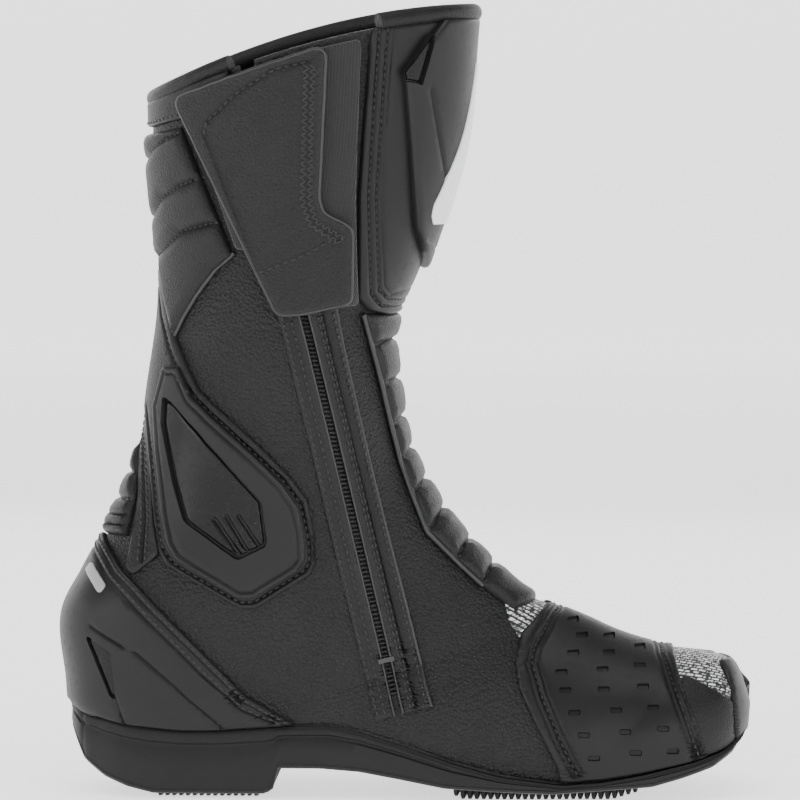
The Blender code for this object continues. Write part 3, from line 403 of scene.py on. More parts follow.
class Finish:
    def __init__(self, name, slot, colour, roughness, metallic=0.0, constants=None):
        self.slot = slot
        self.colour = colour
        self.material = bpy.data.materials.new(name)
        self.material.use_nodes = True
        self.tree = self.material.node_tree
        self.shader = self.tree.nodes["Principled BSDF"]
        self.feed("Base Color", (*colour, 1.0))
        self.feed("Roughness", roughness)
        self.feed("Metallic", metallic)
        for key, value in (constants or {}).items():
            self.feed(key, value)
        self.material.diffuse_color = (*colour, 1.0)
        self.place = self.add("ShaderNodeAttribute", {"attribute_name": "rest"}, out="Vector")

    def add(self, kind, settings=None, inputs=None, out=0):
        node = self.tree.nodes.new(kind)
        for key, value in (settings or {}).items():
            if key == "stops":
                ramp = node.color_ramp
                while len(ramp.elements) < len(value):
                    ramp.elements.new(0.5)
                for element, (position, tone) in zip(ramp.elements, value):
                    element.position, element.color = position, (tone, tone, tone, 1)
            else:
                setattr(node, key, value)
        for key, value in (inputs or {}).items():
            self.plug(value, node.inputs[key])
        return Wire(self, node.outputs[out])

    def plug(self, value, socket):
        if isinstance(value, Wire):
            self.tree.links.new(value.socket, socket)
        else:
            socket.default_value = value

    def feed(self, name, value):
        self.plug(value, self.shader.inputs[name])

    def mask(self, name):
        return self.add("ShaderNodeAttribute", {"attribute_name": name}, out="Fac")

    def noise(self, scale, detail=2.0, place=None):
        return self.add(
            "ShaderNodeTexNoise", {}, {"Vector": place or self.place, "Scale": scale, "Detail": detail},
        )

    def cells(self, scale, feature="F1"):
        return self.add("ShaderNodeTexVoronoi", {"feature": feature}, {"Vector": self.place, "Scale": scale})

    def ramp(self, value, stops):
        return self.add("ShaderNodeValToRGB", {"stops": stops}, {"Fac": value})

    def tint(self, factor, low, high):
        return self.add(
            "ShaderNodeMix", {"data_type": "RGBA"}, {0: factor, 6: (*low, 1), 7: (*high, 1)}, out=2,
        )

    # Depth is in millimetres.
    def relief(self, height, depth, strength=1.0):
        bump = self.add(
            "ShaderNodeBump", {}, {"Height": height, "Distance": depth * mm, "Strength": strength},
        )
        self.feed("Normal", bump)


def shade(colour, factor):
    return tuple(min(1.0, c * factor) for c in colour)


def leatherFinish(name, slot, look):
    f = Finish(name, slot, look["colour"], look["roughness"], 0.0, {"Specular IOR Level": look["shine"]})
    pebbles = f.cells(look["grain"])
    pores = f.noise(look["grain"] * 3.6, 3.0)
    folds = f.noise(0.16, 3.0)
    tone = f.noise(0.03, 3.0)
    edge, seam = f.mask("edge"), f.mask("seam")
    f.relief((1 - pebbles) * 0.8 + pores * 0.25 + folds * 0.4, look["depth"], look["strength"])
    # Lighter along the panel's edges: partly wear, partly a painted highlight.
    wearAndHighlight = edge * (pores * 0.7 + 0.55)
    # Darker in the valleys between the grain's pebbles: painted shade.
    cell = f.ramp(f.cells(look["grain"], "DISTANCE_TO_EDGE"), ((0.0, 0.0), (0.28, 1.0)))
    # Darker near seams, grooves and in pockets: painted shade and dust; the rest is random tone.
    mottleAndPaintedLight = (tone * 0.45 + cell * 0.35 + pores * 0.25) - seam * 0.35 + wearAndHighlight * 0.5
    f.feed("Base Color", f.tint(mottleAndPaintedLight, shade(look["colour"], 0.05), shade(look["colour"], look["spread"])))
    f.feed("Roughness", look["roughness"] + tone * 0.12 + pebbles * 0.14 - wearAndHighlight * 0.1 - 0.1)
    return f


def mouldedFinish(name, slot, look):
    f = Finish(name, slot, look["colour"], look["roughness"], 0.0, {"Specular IOR Level": look["shine"]})
    grit = f.noise(look["grit"], 2.0)
    cloud = f.noise(0.045, 3.0)
    scuff = f.ramp(f.noise(0.35, 5.0), ((0.55, 0.0), (0.72, 1.0)))
    edge, seam = f.mask("edge"), f.mask("seam")
    f.relief(grit * 0.6 + cloud * 0.4, look["depth"], look["strength"])
    # Lighter at edges: partly wear, partly a painted highlight; darker near seams, grooves and in pockets: painted
    # shade and dust.
    mottleAndPaintedLight = cloud * 0.5 + grit * 0.3 + edge * 0.45 - seam * 0.3 + scuff * 0.12
    f.feed("Base Color", f.tint(mottleAndPaintedLight, shade(look["colour"], 0.6), shade(look["colour"], 1.7)))
    f.feed("Roughness", look["roughness"] + scuff * 0.12 + cloud * 0.1 - edge * 0.08 - 0.04)
    return f


looks = {
    "grain": {
        "colour": (0.0085, 0.0085, 0.009), "roughness": 0.46, "shine": 0.22, "grain": 0.7, "depth": 0.95,
        "strength": 1.0, "spread": 2.3,
    },
    "soft": {
        "colour": (0.007, 0.007, 0.0074), "roughness": 0.42, "shine": 0.22, "grain": 1.1, "depth": 0.3,
        "strength": 0.9, "spread": 2.0,
    },
    "flap": {
        "colour": (0.009, 0.009, 0.0094), "roughness": 0.48, "shine": 0.22, "grain": 0.9, "depth": 0.5,
        "strength": 1.0, "spread": 2.1,
    },
    "satin": {
        "colour": (0.009, 0.009, 0.0094), "roughness": 0.42, "shine": 0.22, "grit": 3.0, "depth": 0.03,
        "strength": 0.5,
    },
    "gloss": {
        "colour": (0.003, 0.003, 0.0031), "roughness": 0.24, "shine": 0.22, "grit": 2.0, "depth": 0.01,
        "strength": 0.3,
    },
    "pad": {
        "colour": (0.008, 0.008, 0.0084), "roughness": 0.42, "shine": 0.22, "grit": 2.2, "depth": 0.05,
        "strength": 0.6,
    },
    "sole": {
        "colour": (0.007, 0.007, 0.0074), "roughness": 0.5, "shine": 0.22, "grit": 1.6, "depth": 0.08,
        "strength": 0.7,
    },
    "pipe": {
        "colour": (0.013, 0.013, 0.0135), "roughness": 0.3, "shine": 0.45, "grit": 2.0, "depth": 0.02,
        "strength": 0.4,
    },
}
grainLeather = leatherFinish("grainLeather", "grain_leather", looks["grain"])
softLeather = leatherFinish("softLeather", "flex_leather", looks["soft"])
flapLeather = leatherFinish("flapLeather", "grain_leather", looks["flap"])
satinPlastic = mouldedFinish("satinPlastic", "satin_plastic", looks["satin"])
glossPlastic = mouldedFinish("glossPlastic", "satin_plastic", looks["gloss"])
padRubber = mouldedFinish("padRubber", "pad_rubber", looks["pad"])
soleRubber = mouldedFinish("soleRubber", "sole_rubber", looks["sole"])
pipeTrim = mouldedFinish("pipeTrim", "pad_rubber", looks["pipe"])


# Fabric with threads along and across the panel.
def wovenFinish(name, slot, look):
    f = Finish(
        name, slot, look["colour"], look["roughness"], 0.0, {"Sheen Weight": 0.25, "Sheen Roughness": 0.5},
    )
    plan = f.add("ShaderNodeAttribute", {"attribute_name": "plan"}, out="Vector")
    warp = f.add(
        "ShaderNodeTexWave", {"bands_direction": "X"},
        {"Vector": plan, "Scale": look["warp"], "Distortion": 0.6},
    )
    weft = f.add(
        "ShaderNodeTexWave", {"bands_direction": "Y"},
        {"Vector": plan, "Scale": look["weft"], "Distortion": 0.6},
    )
    fuzz = f.noise(3.0, 3.0)
    threads = warp * 0.5 + weft * 0.5
    f.relief(threads * 0.8 + fuzz * 0.3, look["depth"], 0.9)
    f.feed(
        "Base Color",
        f.tint(threads * 0.6 + fuzz * 0.5, shade(look["colour"], 0.45), shade(look["colour"], 1.7)),
    )
    return f


zipTape = wovenFinish(
    "zipTape", "zip_tape",
    {"colour": (0.007, 0.007, 0.0075), "roughness": 0.85, "warp": 0.45, "weft": 0.45, "depth": 0.25},
)
elasticWeb = wovenFinish(
    "elasticWeb", "elastic_web",
    {"colour": (0.006, 0.006, 0.0065), "roughness": 0.9, "warp": 0.32, "weft": 0.6, "depth": 0.4},
)
liningMesh = wovenFinish(
    "liningMesh", "lining_mesh",
    {"colour": (0.014, 0.014, 0.015), "roughness": 0.85, "warp": 0.22, "weft": 0.22, "depth": 0.5},
)
bedCloth = wovenFinish(
    "bedCloth", "footbed_foam",
    {"colour": (0.04, 0.04, 0.043), "roughness": 0.9, "warp": 0.3, "weft": 0.3, "depth": 0.3},
)


# Dark textile with rows of bright, staggered dashes: painted glints of the light from above, laid only where the
# surface faces up.
def glintDashFinish():
    f = Finish("glintDashTextile", "woven_textile", (0.018, 0.018, 0.019), 0.45, 0.0, {"Specular IOR Level": 0.5})
    plan = f.add("ShaderNodeAttribute", {"attribute_name": "plan"}, out="Vector")
    turned = f.add(
        "ShaderNodeMapping", {"vector_type": "POINT"},
        {"Vector": plan, "Rotation": (0, 0, math.radians(82)), "Scale": (1, 1, 1)},
    )
    bricks = f.add(
        "ShaderNodeTexBrick", {"offset": 0.5, "squash": 1.0},
        {"Vector": turned, "Color1": (1, 1, 1, 1), "Color2": (0.7, 0.7, 0.7, 1), "Mortar": (0, 0, 0, 1), "Scale": 1.0,
         "Mortar Size": 0.62, "Mortar Smooth": 0.1, "Brick Width": 6.0, "Row Height": 2.8},
    )
    breaks = f.ramp(f.noise(0.42, 2.0), ((0.4, 0.0), (0.5, 1.0)))
    # The bright dashes show only where the surface faces up to the light: painted highlight.
    top = f.mask("up")
    shine = f.add("ShaderNodeMath", {"operation": "MULTIPLY"}, {0: bricks, 1: breaks * top})
    f.feed("Base Color", f.tint(shine, (0.009, 0.009, 0.0095), (0.9, 0.91, 0.92)))
    f.feed("Roughness", 0.5 - shine * 0.2)
    f.relief(bricks * 0.7 + f.noise(2.0) * 0.3, 0.2, 0.8)
    return f


glintDashTextile = glintDashFinish()


def plainFinish(name, slot, colour, roughness, metallic, grit, depth):
    f = Finish(name, slot, colour, roughness, metallic)
    grain = f.noise(grit, 3.0)
    cloud = f.noise(0.12, 3.0)
    f.relief(grain, depth, 0.6)
    f.feed("Base Color", f.tint(cloud * 0.6 + grain * 0.4, shade(colour, 0.75), shade(colour, 1.2)))
    f.feed("Roughness", roughness + cloud * 0.12 - 0.06)
    return f


thread = plainFinish("thread", "zip_tape", (0.005, 0.005, 0.0055), 0.5, 0.0, 4.0, 0.1)
blackCoil = plainFinish("blackCoil", "zip_tape", (0.02, 0.02, 0.021), 0.35, 0.0, 3.0, 0.03)
darkMetal = plainFinish("darkMetal", "dark_metal", (0.1, 0.1, 0.105), 0.34, 0.9, 1.5, 0.03)
brightEdge = plainFinish("brightEdge", "pad_rubber", (0.3, 0.3, 0.31), 0.35, 0.0, 2.0, 0.02)
reflectiveFilm = plainFinish("reflectiveFilm", "reflective_film", (0.78, 0.79, 0.8), 0.32, 0.0, 2.5, 0.02)
fibreBoard = plainFinish("fibreBoard", "fibre_board", (0.3, 0.24, 0.17), 0.8, 0.0, 1.0, 0.2)
shankSteel = plainFinish("shankSteel", "shank_steel", (0.5, 0.51, 0.53), 0.35, 1.0, 1.0, 0.05)
print("finishes ready")

# Pieces.

sole = {
    "top": (
        (-80, 41), (-62.5, 39.6), (-52.8, 35.2), (-35.2, 31.7), (-13.2, 29.5), (4.4, 29.5), (35.2, 31.7),
        (52.8, 32.1), (66, 29.5), (83.6, 24.2), (105.6, 16.7), (127.6, 11), (154, 7.5), (171.6, 8.8),
        (189.2, 11.9), (211.2, 16.7), (224.4, 20.7), (233.2, 26.4), (237, 32.5), (250, 45),
    ),
    "bottom": (
        (-80, 35), (-60.3, 26.4), (-55, 15.4), (-46, 8.8), (-36, 4.8), (-24, 2), (25, 2), (28.4, 4.4),
        (29.6, 13.2), (48.4, 13.2), (66, 11.9), (84, 8.8), (103, 5.5), (150, 3.5), (193, 6.5), (206.8, 10),
        (220, 14), (229, 19.5), (237.5, 30.5), (250, 43),
    ),
    "forefoot": ((104, 5.4), (106, 2.5), (110, 0), (176, 0), (188, 3.4), (192, 7.8)),
    "welt": 1.7,
    "flare": 3.2,
    "inset": 7.0,
    "wall": (
        (0.0, -0.2), (0.06, 0.25), (0.16, 0.25), (0.2, -0.7), (0.26, -0.7), (0.32, 0.1), (0.7, 0.25),
        (1.0, -0.3),
    ),
}

def readLine(pairs, x):
    pairs = np.array(pairs, float)
    return np.interp(x, pairs[:, 0], pairs[:, 1])


def overSole(at):
    return at[:, 2] - readLine(sole["top"], np.minimum(at[:, 0], 233))


def clearOfSole(line, gap=1.2):
    return line[overSole(skin(line[:, 0], line[:, 1])) > gap]


shellTrees = []


def attach(obj, finish, on, stands=()):
    obj.data.materials.append(finish.material)
    if stands:
        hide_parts(*stands)
    if on == "leg":
        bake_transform(obj)
    else:
        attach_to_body(obj, on)
    return obj


def makePiece(name, points, faces, masks=None, sharp=48.0):
    points = np.asarray(points, float)
    mesh = bpy.data.meshes.new(name)
    mesh.from_pydata((points * mm).tolist(), [], [list(map(int, f)) for f in faces])
    mesh.validate()
    rest = mesh.attributes.new("rest", "FLOAT_VECTOR", "POINT")
    rest.data.foreach_set("vector", points.astype(np.float32).ravel())
    for key, values in (masks or {}).items():
        values = np.asarray(values, np.float32)
        kind = "FLOAT_VECTOR" if values.ndim == 2 else "FLOAT"
        layer = mesh.attributes.new(key, kind, "POINT")
        layer.data.foreach_set("vector" if values.ndim == 2 else "value", values.ravel())
    mesh.shade_smooth()
    mesh.set_sharp_from_angle(angle=math.radians(sharp))
    obj = bpy.data.objects.new(name, mesh)
    bpy.context.scene.collection.objects.link(obj)
    return obj


def valley(line, radius, depth, step=1.6):
    return {"line": clearOfSole(walk(line, step)), "radius": radius, "depth": depth, "kind": "valley"}


def groove(line, radius, depth, step=1.0):
    return {"line": clearOfSole(walk(line, step)), "radius": radius, "depth": depth, "kind": "groove"}


def ridge(line, radius, height, step=1.6):
    return groove(line, radius, -height, step)


# A panel on the form: its outline, the heights of its back and face, and the rounding of its edge.
def patch(name, finish, ring, low, high, edge=0.9, step=2.6, seams=(), pockets=(),
          on="leg", stands=(), fill=None, border=1.5):
    rim = walk(ring, border, True)
    rimFlat, rimAt = flat(rim), skin(rim[:, 0], rim[:, 1])
    groups, links = [rim], []

    def addPoints(line, clear):
        line = line[(line[:, 1] > 0) & (line[:, 1] < 19.99985)]
        line = line[inside(flat(line), rimFlat)]
        if len(line):
            line = line[gapTo(skin(line[:, 0], line[:, 1]), rimAt, True) > clear]
        groups.append(line)

    for share in (0.12, 0.42, 1.0):
        addPoints(inset(rim, edge * share), edge * share * 0.86)
    for seam in seams:
        for share in (0, 0.4, -0.4, 0.85, -0.85):
            line = slide(seam["line"], share * seam["radius"])
            placed = np.vstack(groups[1:]) if len(groups) > 1 else rim
            addPoints(line[farFrom(line, placed, 0.42)], edge * 0.5)
    walls = []
    for pocket in pockets:
        outer = walk(pocket["ring"], pocket.get("step", 1.0), True)
        inner = inset(outer, pocket.get("wall", 0.3))
        middle = inset(outer, pocket.get("wall", 0.3) * 0.5)
        for loop in (outer, inner):
            start = sum(map(len, groups))
            groups.append(loop)
            links += [(start + i, start + (i + 1) % len(loop)) for i in range(len(loop))]
        walls.append((skin(outer[:, 0], outer[:, 1]), flat(middle), pocket))
    low2, high2 = rimFlat.min(0), rimFlat.max(0)
    xs = np.arange(low2[0], high2[0], step)
    ys = np.arange(low2[1], high2[1], step * 0.87)
    grid = np.array(
        [(x + (step / 2 if j % 2 else 0), y)
        for j, y in enumerate(ys) for x in xs]
    ).reshape(-1, 2)
    grid = grid[inside(grid, rimFlat)]
    grid = unflat(grid)
    if len(grid):
        at = skin(grid[:, 0], grid[:, 1])
        good = gapTo(at, rimAt, True) > edge + step * 0.35
        for seam in seams:
            good &= gapTo(
                at, skin(seam["line"][:, 0], seam["line"][:, 1]),
            ) > seam["radius"] * 0.75 + step * 0.3
        for outerAt, _, _ in walls:
            good &= gapTo(at, outerAt, True) > step * 0.3
        groups.append(grid[good])
    places = np.vstack(groups)
    cut = delaunay_2d_cdt([Vector(p) for p in flat(places)], links, [list(range(len(rim)))], 1, 1e-4)
    flats, faces = np.array([tuple(p) for p in cut[0]]), [f for f in cut[2] if len(f) == 3]
    line = unflat(flats)
    at, normal = skin(line[:, 0], line[:, 1]), normalAt(line[:, 0], line[:, 1])
    gap = gapTo(at, rimAt, True)
    wall = min(edge, high - low)
    height = high - wall * (1 - crown(gap, edge))
    dip, nearest = np.zeros(len(at)), np.full(len(at), 99.0)
    for seam in seams:
        d = gapTo(at, skin(seam["line"][:, 0], seam["line"][:, 1]))
        nearest = np.minimum(nearest, d)
        if seam["kind"] == "valley":
            dip = np.maximum(dip, seam["depth"] * (1 - crown(d, seam["radius"])))
        else:
            dip = dip + seam["depth"] * np.exp(-(d / seam["radius"] / 0.55) ** 2)
    height = height - dip * crown(gap, max(edge, 0.5))
    for _, middleFlat, pocket in walls:
        within = inside(flats, middleFlat)
        height = np.where(within, height - pocket["depth"], height)
        # Inside a pocket the seam mask is full, so the finishes paint the pocket darker: painted shade.
        nearest = np.where(within, 0.0, nearest)
    tuck = crown(overSole(at) - 0.1, 2.2)
    height = np.maximum(height, low + 0.05)
    height = (height + 1.9) * tuck - 1.9
    under = np.minimum(low, height - 0.25)
    top, bottom = at + normal * height[:, None], at + normal * under[:, None]
    count = len(at)
    used = {}
    for f in faces:
        for i in range(3):
            used[(f[i], f[(i + 1) % 3])] = True
    loose = [e for e in used if (e[1], e[0]) not in used]
    polygons = [(f[2], f[1], f[0]) for f in faces] + [tuple(i + count for i in f) for f in faces]
    polygons += [(a, b, b + count, a + count) for a, b in loose]
    # edge lightens the rim (partly wear, partly painted highlight), seam darkens seams, grooves and pockets (painted
    # shade and dust), up places the painted glints on faces turned up.
    masks = {
        "edge": np.tile(np.exp(-(gap / 1.3) ** 2), 2),
        "seam": np.tile(np.exp(-(nearest / 1.1) ** 2), 2),
        "plan": np.tile(np.column_stack([flats, height]), (2, 1)),
        "up": np.tile(np.clip((normal[:, 2] + normal[:, 0] * 0.35 - 0.56) * 6, 0, 1), 2),
    }
    points = np.vstack([top, bottom])
    obj = makePiece(name, points, polygons, masks)
    shellTrees.append((on == "flap", BVHTree.FromPolygons(top.tolist(), [(f[2], f[1], f[0]) for f in faces])))
    return attach(obj, finish, on, stands)


# A round cord laid on the form: its points and faces.
def sweep(line, radius, lift, closed=False, sides=8, step=1.8):
    line = walk(line, step, closed)
    at, normal = skin(line[:, 0], line[:, 1]), normalAt(line[:, 0], line[:, 1])
    if np.ndim(lift):
        lift = np.interp(np.linspace(0, 1, len(line)), np.linspace(0, 1, len(lift)), lift)[:, None]
    centre = at + normal * lift
    ahead = np.roll(at, -1, 0) - np.roll(at, 1, 0) if closed else np.gradient(at, axis=0)
    side = unit(np.cross(unit(ahead), normal))
    turns = np.linspace(0, 2 * math.pi, sides, endpoint=False)
    rings = centre[:, None] + radius * (
        np.cos(turns)[None, :, None] * normal[:, None] + np.sin(turns)[None, :, None] * side[:, None]
    )
    count, faces = len(line), []
    for i in range(count if closed else count - 1):
        j = (i + 1) % count
        for k in range(sides):
            m = (k + 1) % sides
            faces.append((i * sides + k, i * sides + m, j * sides + m, j * sides + k))
    if not closed:
        faces.append(tuple(range(sides))[::-1])
        faces.append(tuple((count - 1) * sides + k for k in range(sides)))
    return rings.reshape(-1, 3), faces


def gather(parts):
    points, faces, start = [], [], 0
    for p, f in parts:
        points.append(p)
        faces += [tuple(i + start for i in face) for face in f]
        start += len(p)
    return np.vstack(points), faces


def tubes(name, finish, specs, on="leg", stands=()):
    points, faces = gather([sweep(**spec) for spec in specs])
    return attach(makePiece(name, points, faces, sharp=80), finish, on, stands)


sewn = {"leg": [], "shaft": [], "foot": [], "flap": []}
thatch = {"length": 2.3, "pitch": 3.3, "width": 1.05, "height": 0.7}


def stitchLine(line, on="leg", pitch=None, length=None, lean=0.0, width=None):
    line = clearOfSole(walk(line, 2.0))
    sewn[on].append(
        (line, pitch or thatch["pitch"], length or thatch["length"], lean, width or thatch["width"])
    )


def coverHeight(point, normal, onFlap):
    best = None
    for group, tree in shellTrees:
        if group != onFlap:
            continue
        hit = tree.ray_cast(Vector(point + normal * 16), Vector(-normal), 22)
        if hit[0] is not None:
            best = max(best, 16 - hit[3]) if best is not None else 16 - hit[3]
    return best


# Each stitch is a short flattened strand sunk a little into what it holds.
def sewAll():
    for on, rowsOfStitches in sewn.items():
        parts = []
        for line, pitch, length, lean, width in rowsOfStitches:
            spots = walk(line, pitch)
            at, normal = skin(spots[:, 0], spots[:, 1]), normalAt(spots[:, 0], spots[:, 1])
            ahead = unit(np.gradient(at, axis=0))
            for i in range(len(spots) - 1):
                p, n, t = (at[i] + at[i + 1]) / 2, normal[i], ahead[i]
                h = coverHeight(p, n, on == "flap")
                if h is None:
                    continue
                b = np.cross(t, n)
                if lean:
                    angle = lean * (1 if i % 2 else -1)
                    t, b = t * math.cos(angle) + b * math.sin(angle), b * math.cos(angle) - t * math.sin(angle)
                strand = []
                for f, r in ((-0.5, 0.3), (-0.36, 1.0), (0.36, 1.0), (0.5, 0.3)):
                    rise = thatch["height"] * (0.15 if r > 0.5 else -0.35)
                    for k in range(6):
                        turn = math.pi * k / 3
                        strand.append(
                            p + t * f * length + n * (h + rise + math.cos(turn) * r * thatch["height"] * 0.5)
                            + b * math.sin(turn) * r * width * 0.5
                        )
                faces = [
                    (j * 6 + k, j * 6 + (k + 1) % 6, j * 6 + 6 + (k + 1) % 6, j * 6 + 6 + k)
                    for j in range(3) for k in range(6)
                ]
                faces += [tuple(range(6))[::-1], tuple(range(18, 24))]
                parts.append((np.array(strand), faces))
        if parts:
            points, faces = gather(parts)
            attach(makePiece("stitching" + on.capitalize(), points, faces, sharp=70), thread, on)
    print("stitching done")


def rail(a0, v0, a1, v1, count=60):
    return np.stack([np.linspace(a0, a1, count), np.linspace(v0, v1, count)], -1)


# A band round the foot between two lines that run from the front down to the sole.
def overFoot(left, right):
    l, r = locate(subdivided(left)), locate(subdivided(right))
    return np.vstack([l[::-1], mirrored(l), mirrored(r)[::-1], r])


def bothSides(lines):
    return list(lines) + [mirrored(line) for line in lines]


def flipped(seams):
    return [dict(seam, line=mirrored(seam["line"])) for seam in seams]


# Small rounded blocks set across a line.
def studs(line, pitch, length, width, height, lift, shift):
    spots = walk(line, pitch)
    at, normal = skin(spots[:, 0], spots[:, 1]), normalAt(spots[:, 0], spots[:, 1])
    ahead = unit(np.gradient(at, axis=0))
    side = unit(np.cross(ahead, normal))
    parts = []
    for p, n, t, b in zip(at, normal, ahead, side):
        rings = []
        for f, r in ((-0.5, 0.55), (-0.3, 1.0), (0.3, 1.0), (0.5, 0.55)):
            for k in range(6):
                turn = math.pi * k / 3
                rings.append(
                    p + b * (shift + f * length) + n * (
                        lift + math.cos(turn) * r * height / 2
                    ) + t * math.sin(turn) * r * width / 2
                )
        faces = [
            (j * 6 + k, j * 6 + 6 + k, j * 6 + 6 + (k + 1) % 6, j * 6 + (k + 1) % 6)
            for j in range(3) for k in range(6)
        ]
        faces += [tuple(range(6)), tuple(range(18, 24))[::-1]]
        parts.append((np.array(rings), faces))
    return parts


# Lines shared by neighbouring pieces, as (x, z) seen from the inner side.

ribLeft = (
    (66.9, 210.8), (70.2, 196.7), (74.4, 179.5), (78.3, 161.9), (82.3, 146.1), (87.8, 131.1), (94.6, 114.8),
    (107.4, 101.6), (119.2, 90.6), (133.3, 79.6),
)
ribFront = (
    (87.1, 214.3), (83.9, 200), (84, 182.8), (85.4, 166.3), (88, 150.9), (93.1, 136.8), (101.6, 123.8),
    (112.6, 112.2), (123.2, 101.2), (136.4, 92.4),
)
guardLine = (
    (-24.6, 238), (-20.2, 230.1), (-18.5, 216), (-14.5, 199.3), (-10.6, 189.6), (-4, 176.9), (7, 167.2),
    (22.4, 153.6), (36.1, 139.9), (43.6, 129.8), (46.2, 116.2), (47.1, 102.1), (44.9, 97.2), (20.7, 82.3),
    (13.2, 82.7), (-18.5, 101.2), (-21.6, 107.4), (-23.8, 120.1), (-26.8, 150.5), (-28.6, 169.4),
    (-31.7, 174.7),
)
plateLine = (
    (-19.5, 187.0), (-13.0, 187.0), (-7.0, 174.0), (4.0, 163.5), (20.0, 149.5), (33.0, 136.5), (39.5, 127.0),
    (42.0, 115.0), (42.5, 104.0), (39.0, 99.0), (20.5, 87.5), (13.5, 87.0), (-13.5, 103.5), (-17.5, 110.0),
    (-20.0, 122.0), (-23.0, 150.0), (-24.0, 170.0),
)
padBack = (
    (152.5, 82.6), (149.6, 83.2), (136.4, 70), (133.8, 58.1), (135.5, 47.1), (142.1, 32.6), (151.8, 12.8),
    (154.4, 3),
)
padFront = ((200.6, 64.2), (203.7, 61.6), (205, 53.7), (208.6, 42.2), (213.8, 29), (216.9, 18.9), (219, 8))
zipV = np.linspace(0.01, 14.0, 400)
zipLine = zipPath(zipV)
zipEnd = int(np.argmin(np.abs(skin(zipLine[:, 0], zipLine[:, 1])[:, 2] - 46)))
zipBack, zipFront = slide(zipLine, 3.4)[:zipEnd], slide(zipLine, -3.4)[:zipEnd]

# Leather skin, lining and footbed.

toeTip = 19.9995

leather = {"low": -2.0, "high": 0.2, "edge": 0.9, "step": 3.2}
zipBack[0, 1] = zipFront[0, 1] = 0.01
slot = np.vstack([zipBack, zipFront[::-1]])
innerRing = np.vstack([
    rail(0.0, 0.01, zipBack[0, 0], 0.01, 20), slot, rail(zipFront[0, 0], 0.01, 1, 0.01, 20),
    rail(1, 0.01, 1, toeTip), rail(1, toeTip, 0, toeTip, 6), rail(0, toeTip, 0, 0.01),
])
outerRing = np.vstack(
    [
        rail(1, 0.01, 2, 0.01, 30), rail(2, 0.01, 2, toeTip), rail(2, toeTip, 1, toeTip, 6),
        rail(1, toeTip, 1, 0.01),
    ]
)
patch("leatherInner", grainLeather, innerRing, **leather, border=2.4,
      stands=("medial_quarter_rear", "medial_quarter_front", "medial_rear_panel", "medial_front_panel", "zip_gusset"))
patch(
    "leatherOuter", grainLeather, outerRing, **leather, border=2.4,
    stands=("lateral_quarter", "lateral_shaft_panel"),
)
liningRing = np.vstack(
    [
        rail(0.0, 0.12, 2.0, 0.12), rail(2.0, 0.12, 2.0, 18.8), rail(2.0, 18.8, 0.0, 18.8, 8),
        rail(0.0, 18.8, 0.0, 0.12),
    ]
)
patch(
    "lining", liningMesh, liningRing, -6.0, -2.6, 0.6, 5.0, border=3.5,
    stands=("foot_lining", "shaft_lining"), fill=0.4,
)
print("skin and lining done")

# Sole.

edgeV = np.concatenate([np.linspace(8.0, 19, 110), np.linspace(19.1, 19.98, 12)])
edgeIn, edgeOut = skin(0.0, edgeV), skin(1.99999, edgeV)
edgeIn[:14, :2] = skin(0.004 + 0 * edgeV, edgeV)[:14, :2]
rimT = np.linspace(0, 0.13, 16)
heelIn, heelOut = skin(rimT, 9.8 + 0 * rimT), skin(2 - rimT, 9.8 + 0 * rimT)


def footOutline(grow, step=2.2):
    edge = edgeV > 10.3
    loop = np.vstack(
        [
            edgeIn[edge][:, :2], edgeOut[edge][::-1][:, :2], [edgeOut[edge][0, :2]], heelOut[::-1][:, :2],
            heelIn[:, :2],
        ]
    )
    hull = loop[aroundFoot(loop)]
    closed = np.vstack([hull, hull[:1]])
    run = np.concatenate([[0], np.cumsum(np.linalg.norm(np.diff(closed, axis=0), axis=1))])
    wanted = np.linspace(0, run[-1], int(run[-1] / step) + 1)[:-1]
    loop = np.stack([np.interp(wanted, run, closed[:, k]) for k in (0, 1)], -1)
    for _ in range(2):
        loop = (np.roll(loop, 1, 0) + 2 * loop + np.roll(loop, -1, 0)) / 4
    ahead = unit(np.roll(loop, -1, 0) - np.roll(loop, 1, 0))
    out = np.stack([ahead[:, 1], -ahead[:, 0]], -1)
    spread = sole["flare"] * np.clip((loop[:, 0] - 85) / 40, 0, 1) if grow > 0 else 0 * loop[:, 0]
    return loop + out * grow + out * (spread * np.abs(out[:, 1]))[:, None], out


# Order of the points round the foot: out along the inner side and back along the outer side.
def aroundFoot(points):
    return np.argsort(np.where(points[:, 1] < -3, points[:, 0] - 1000, 1000 - points[:, 0]))


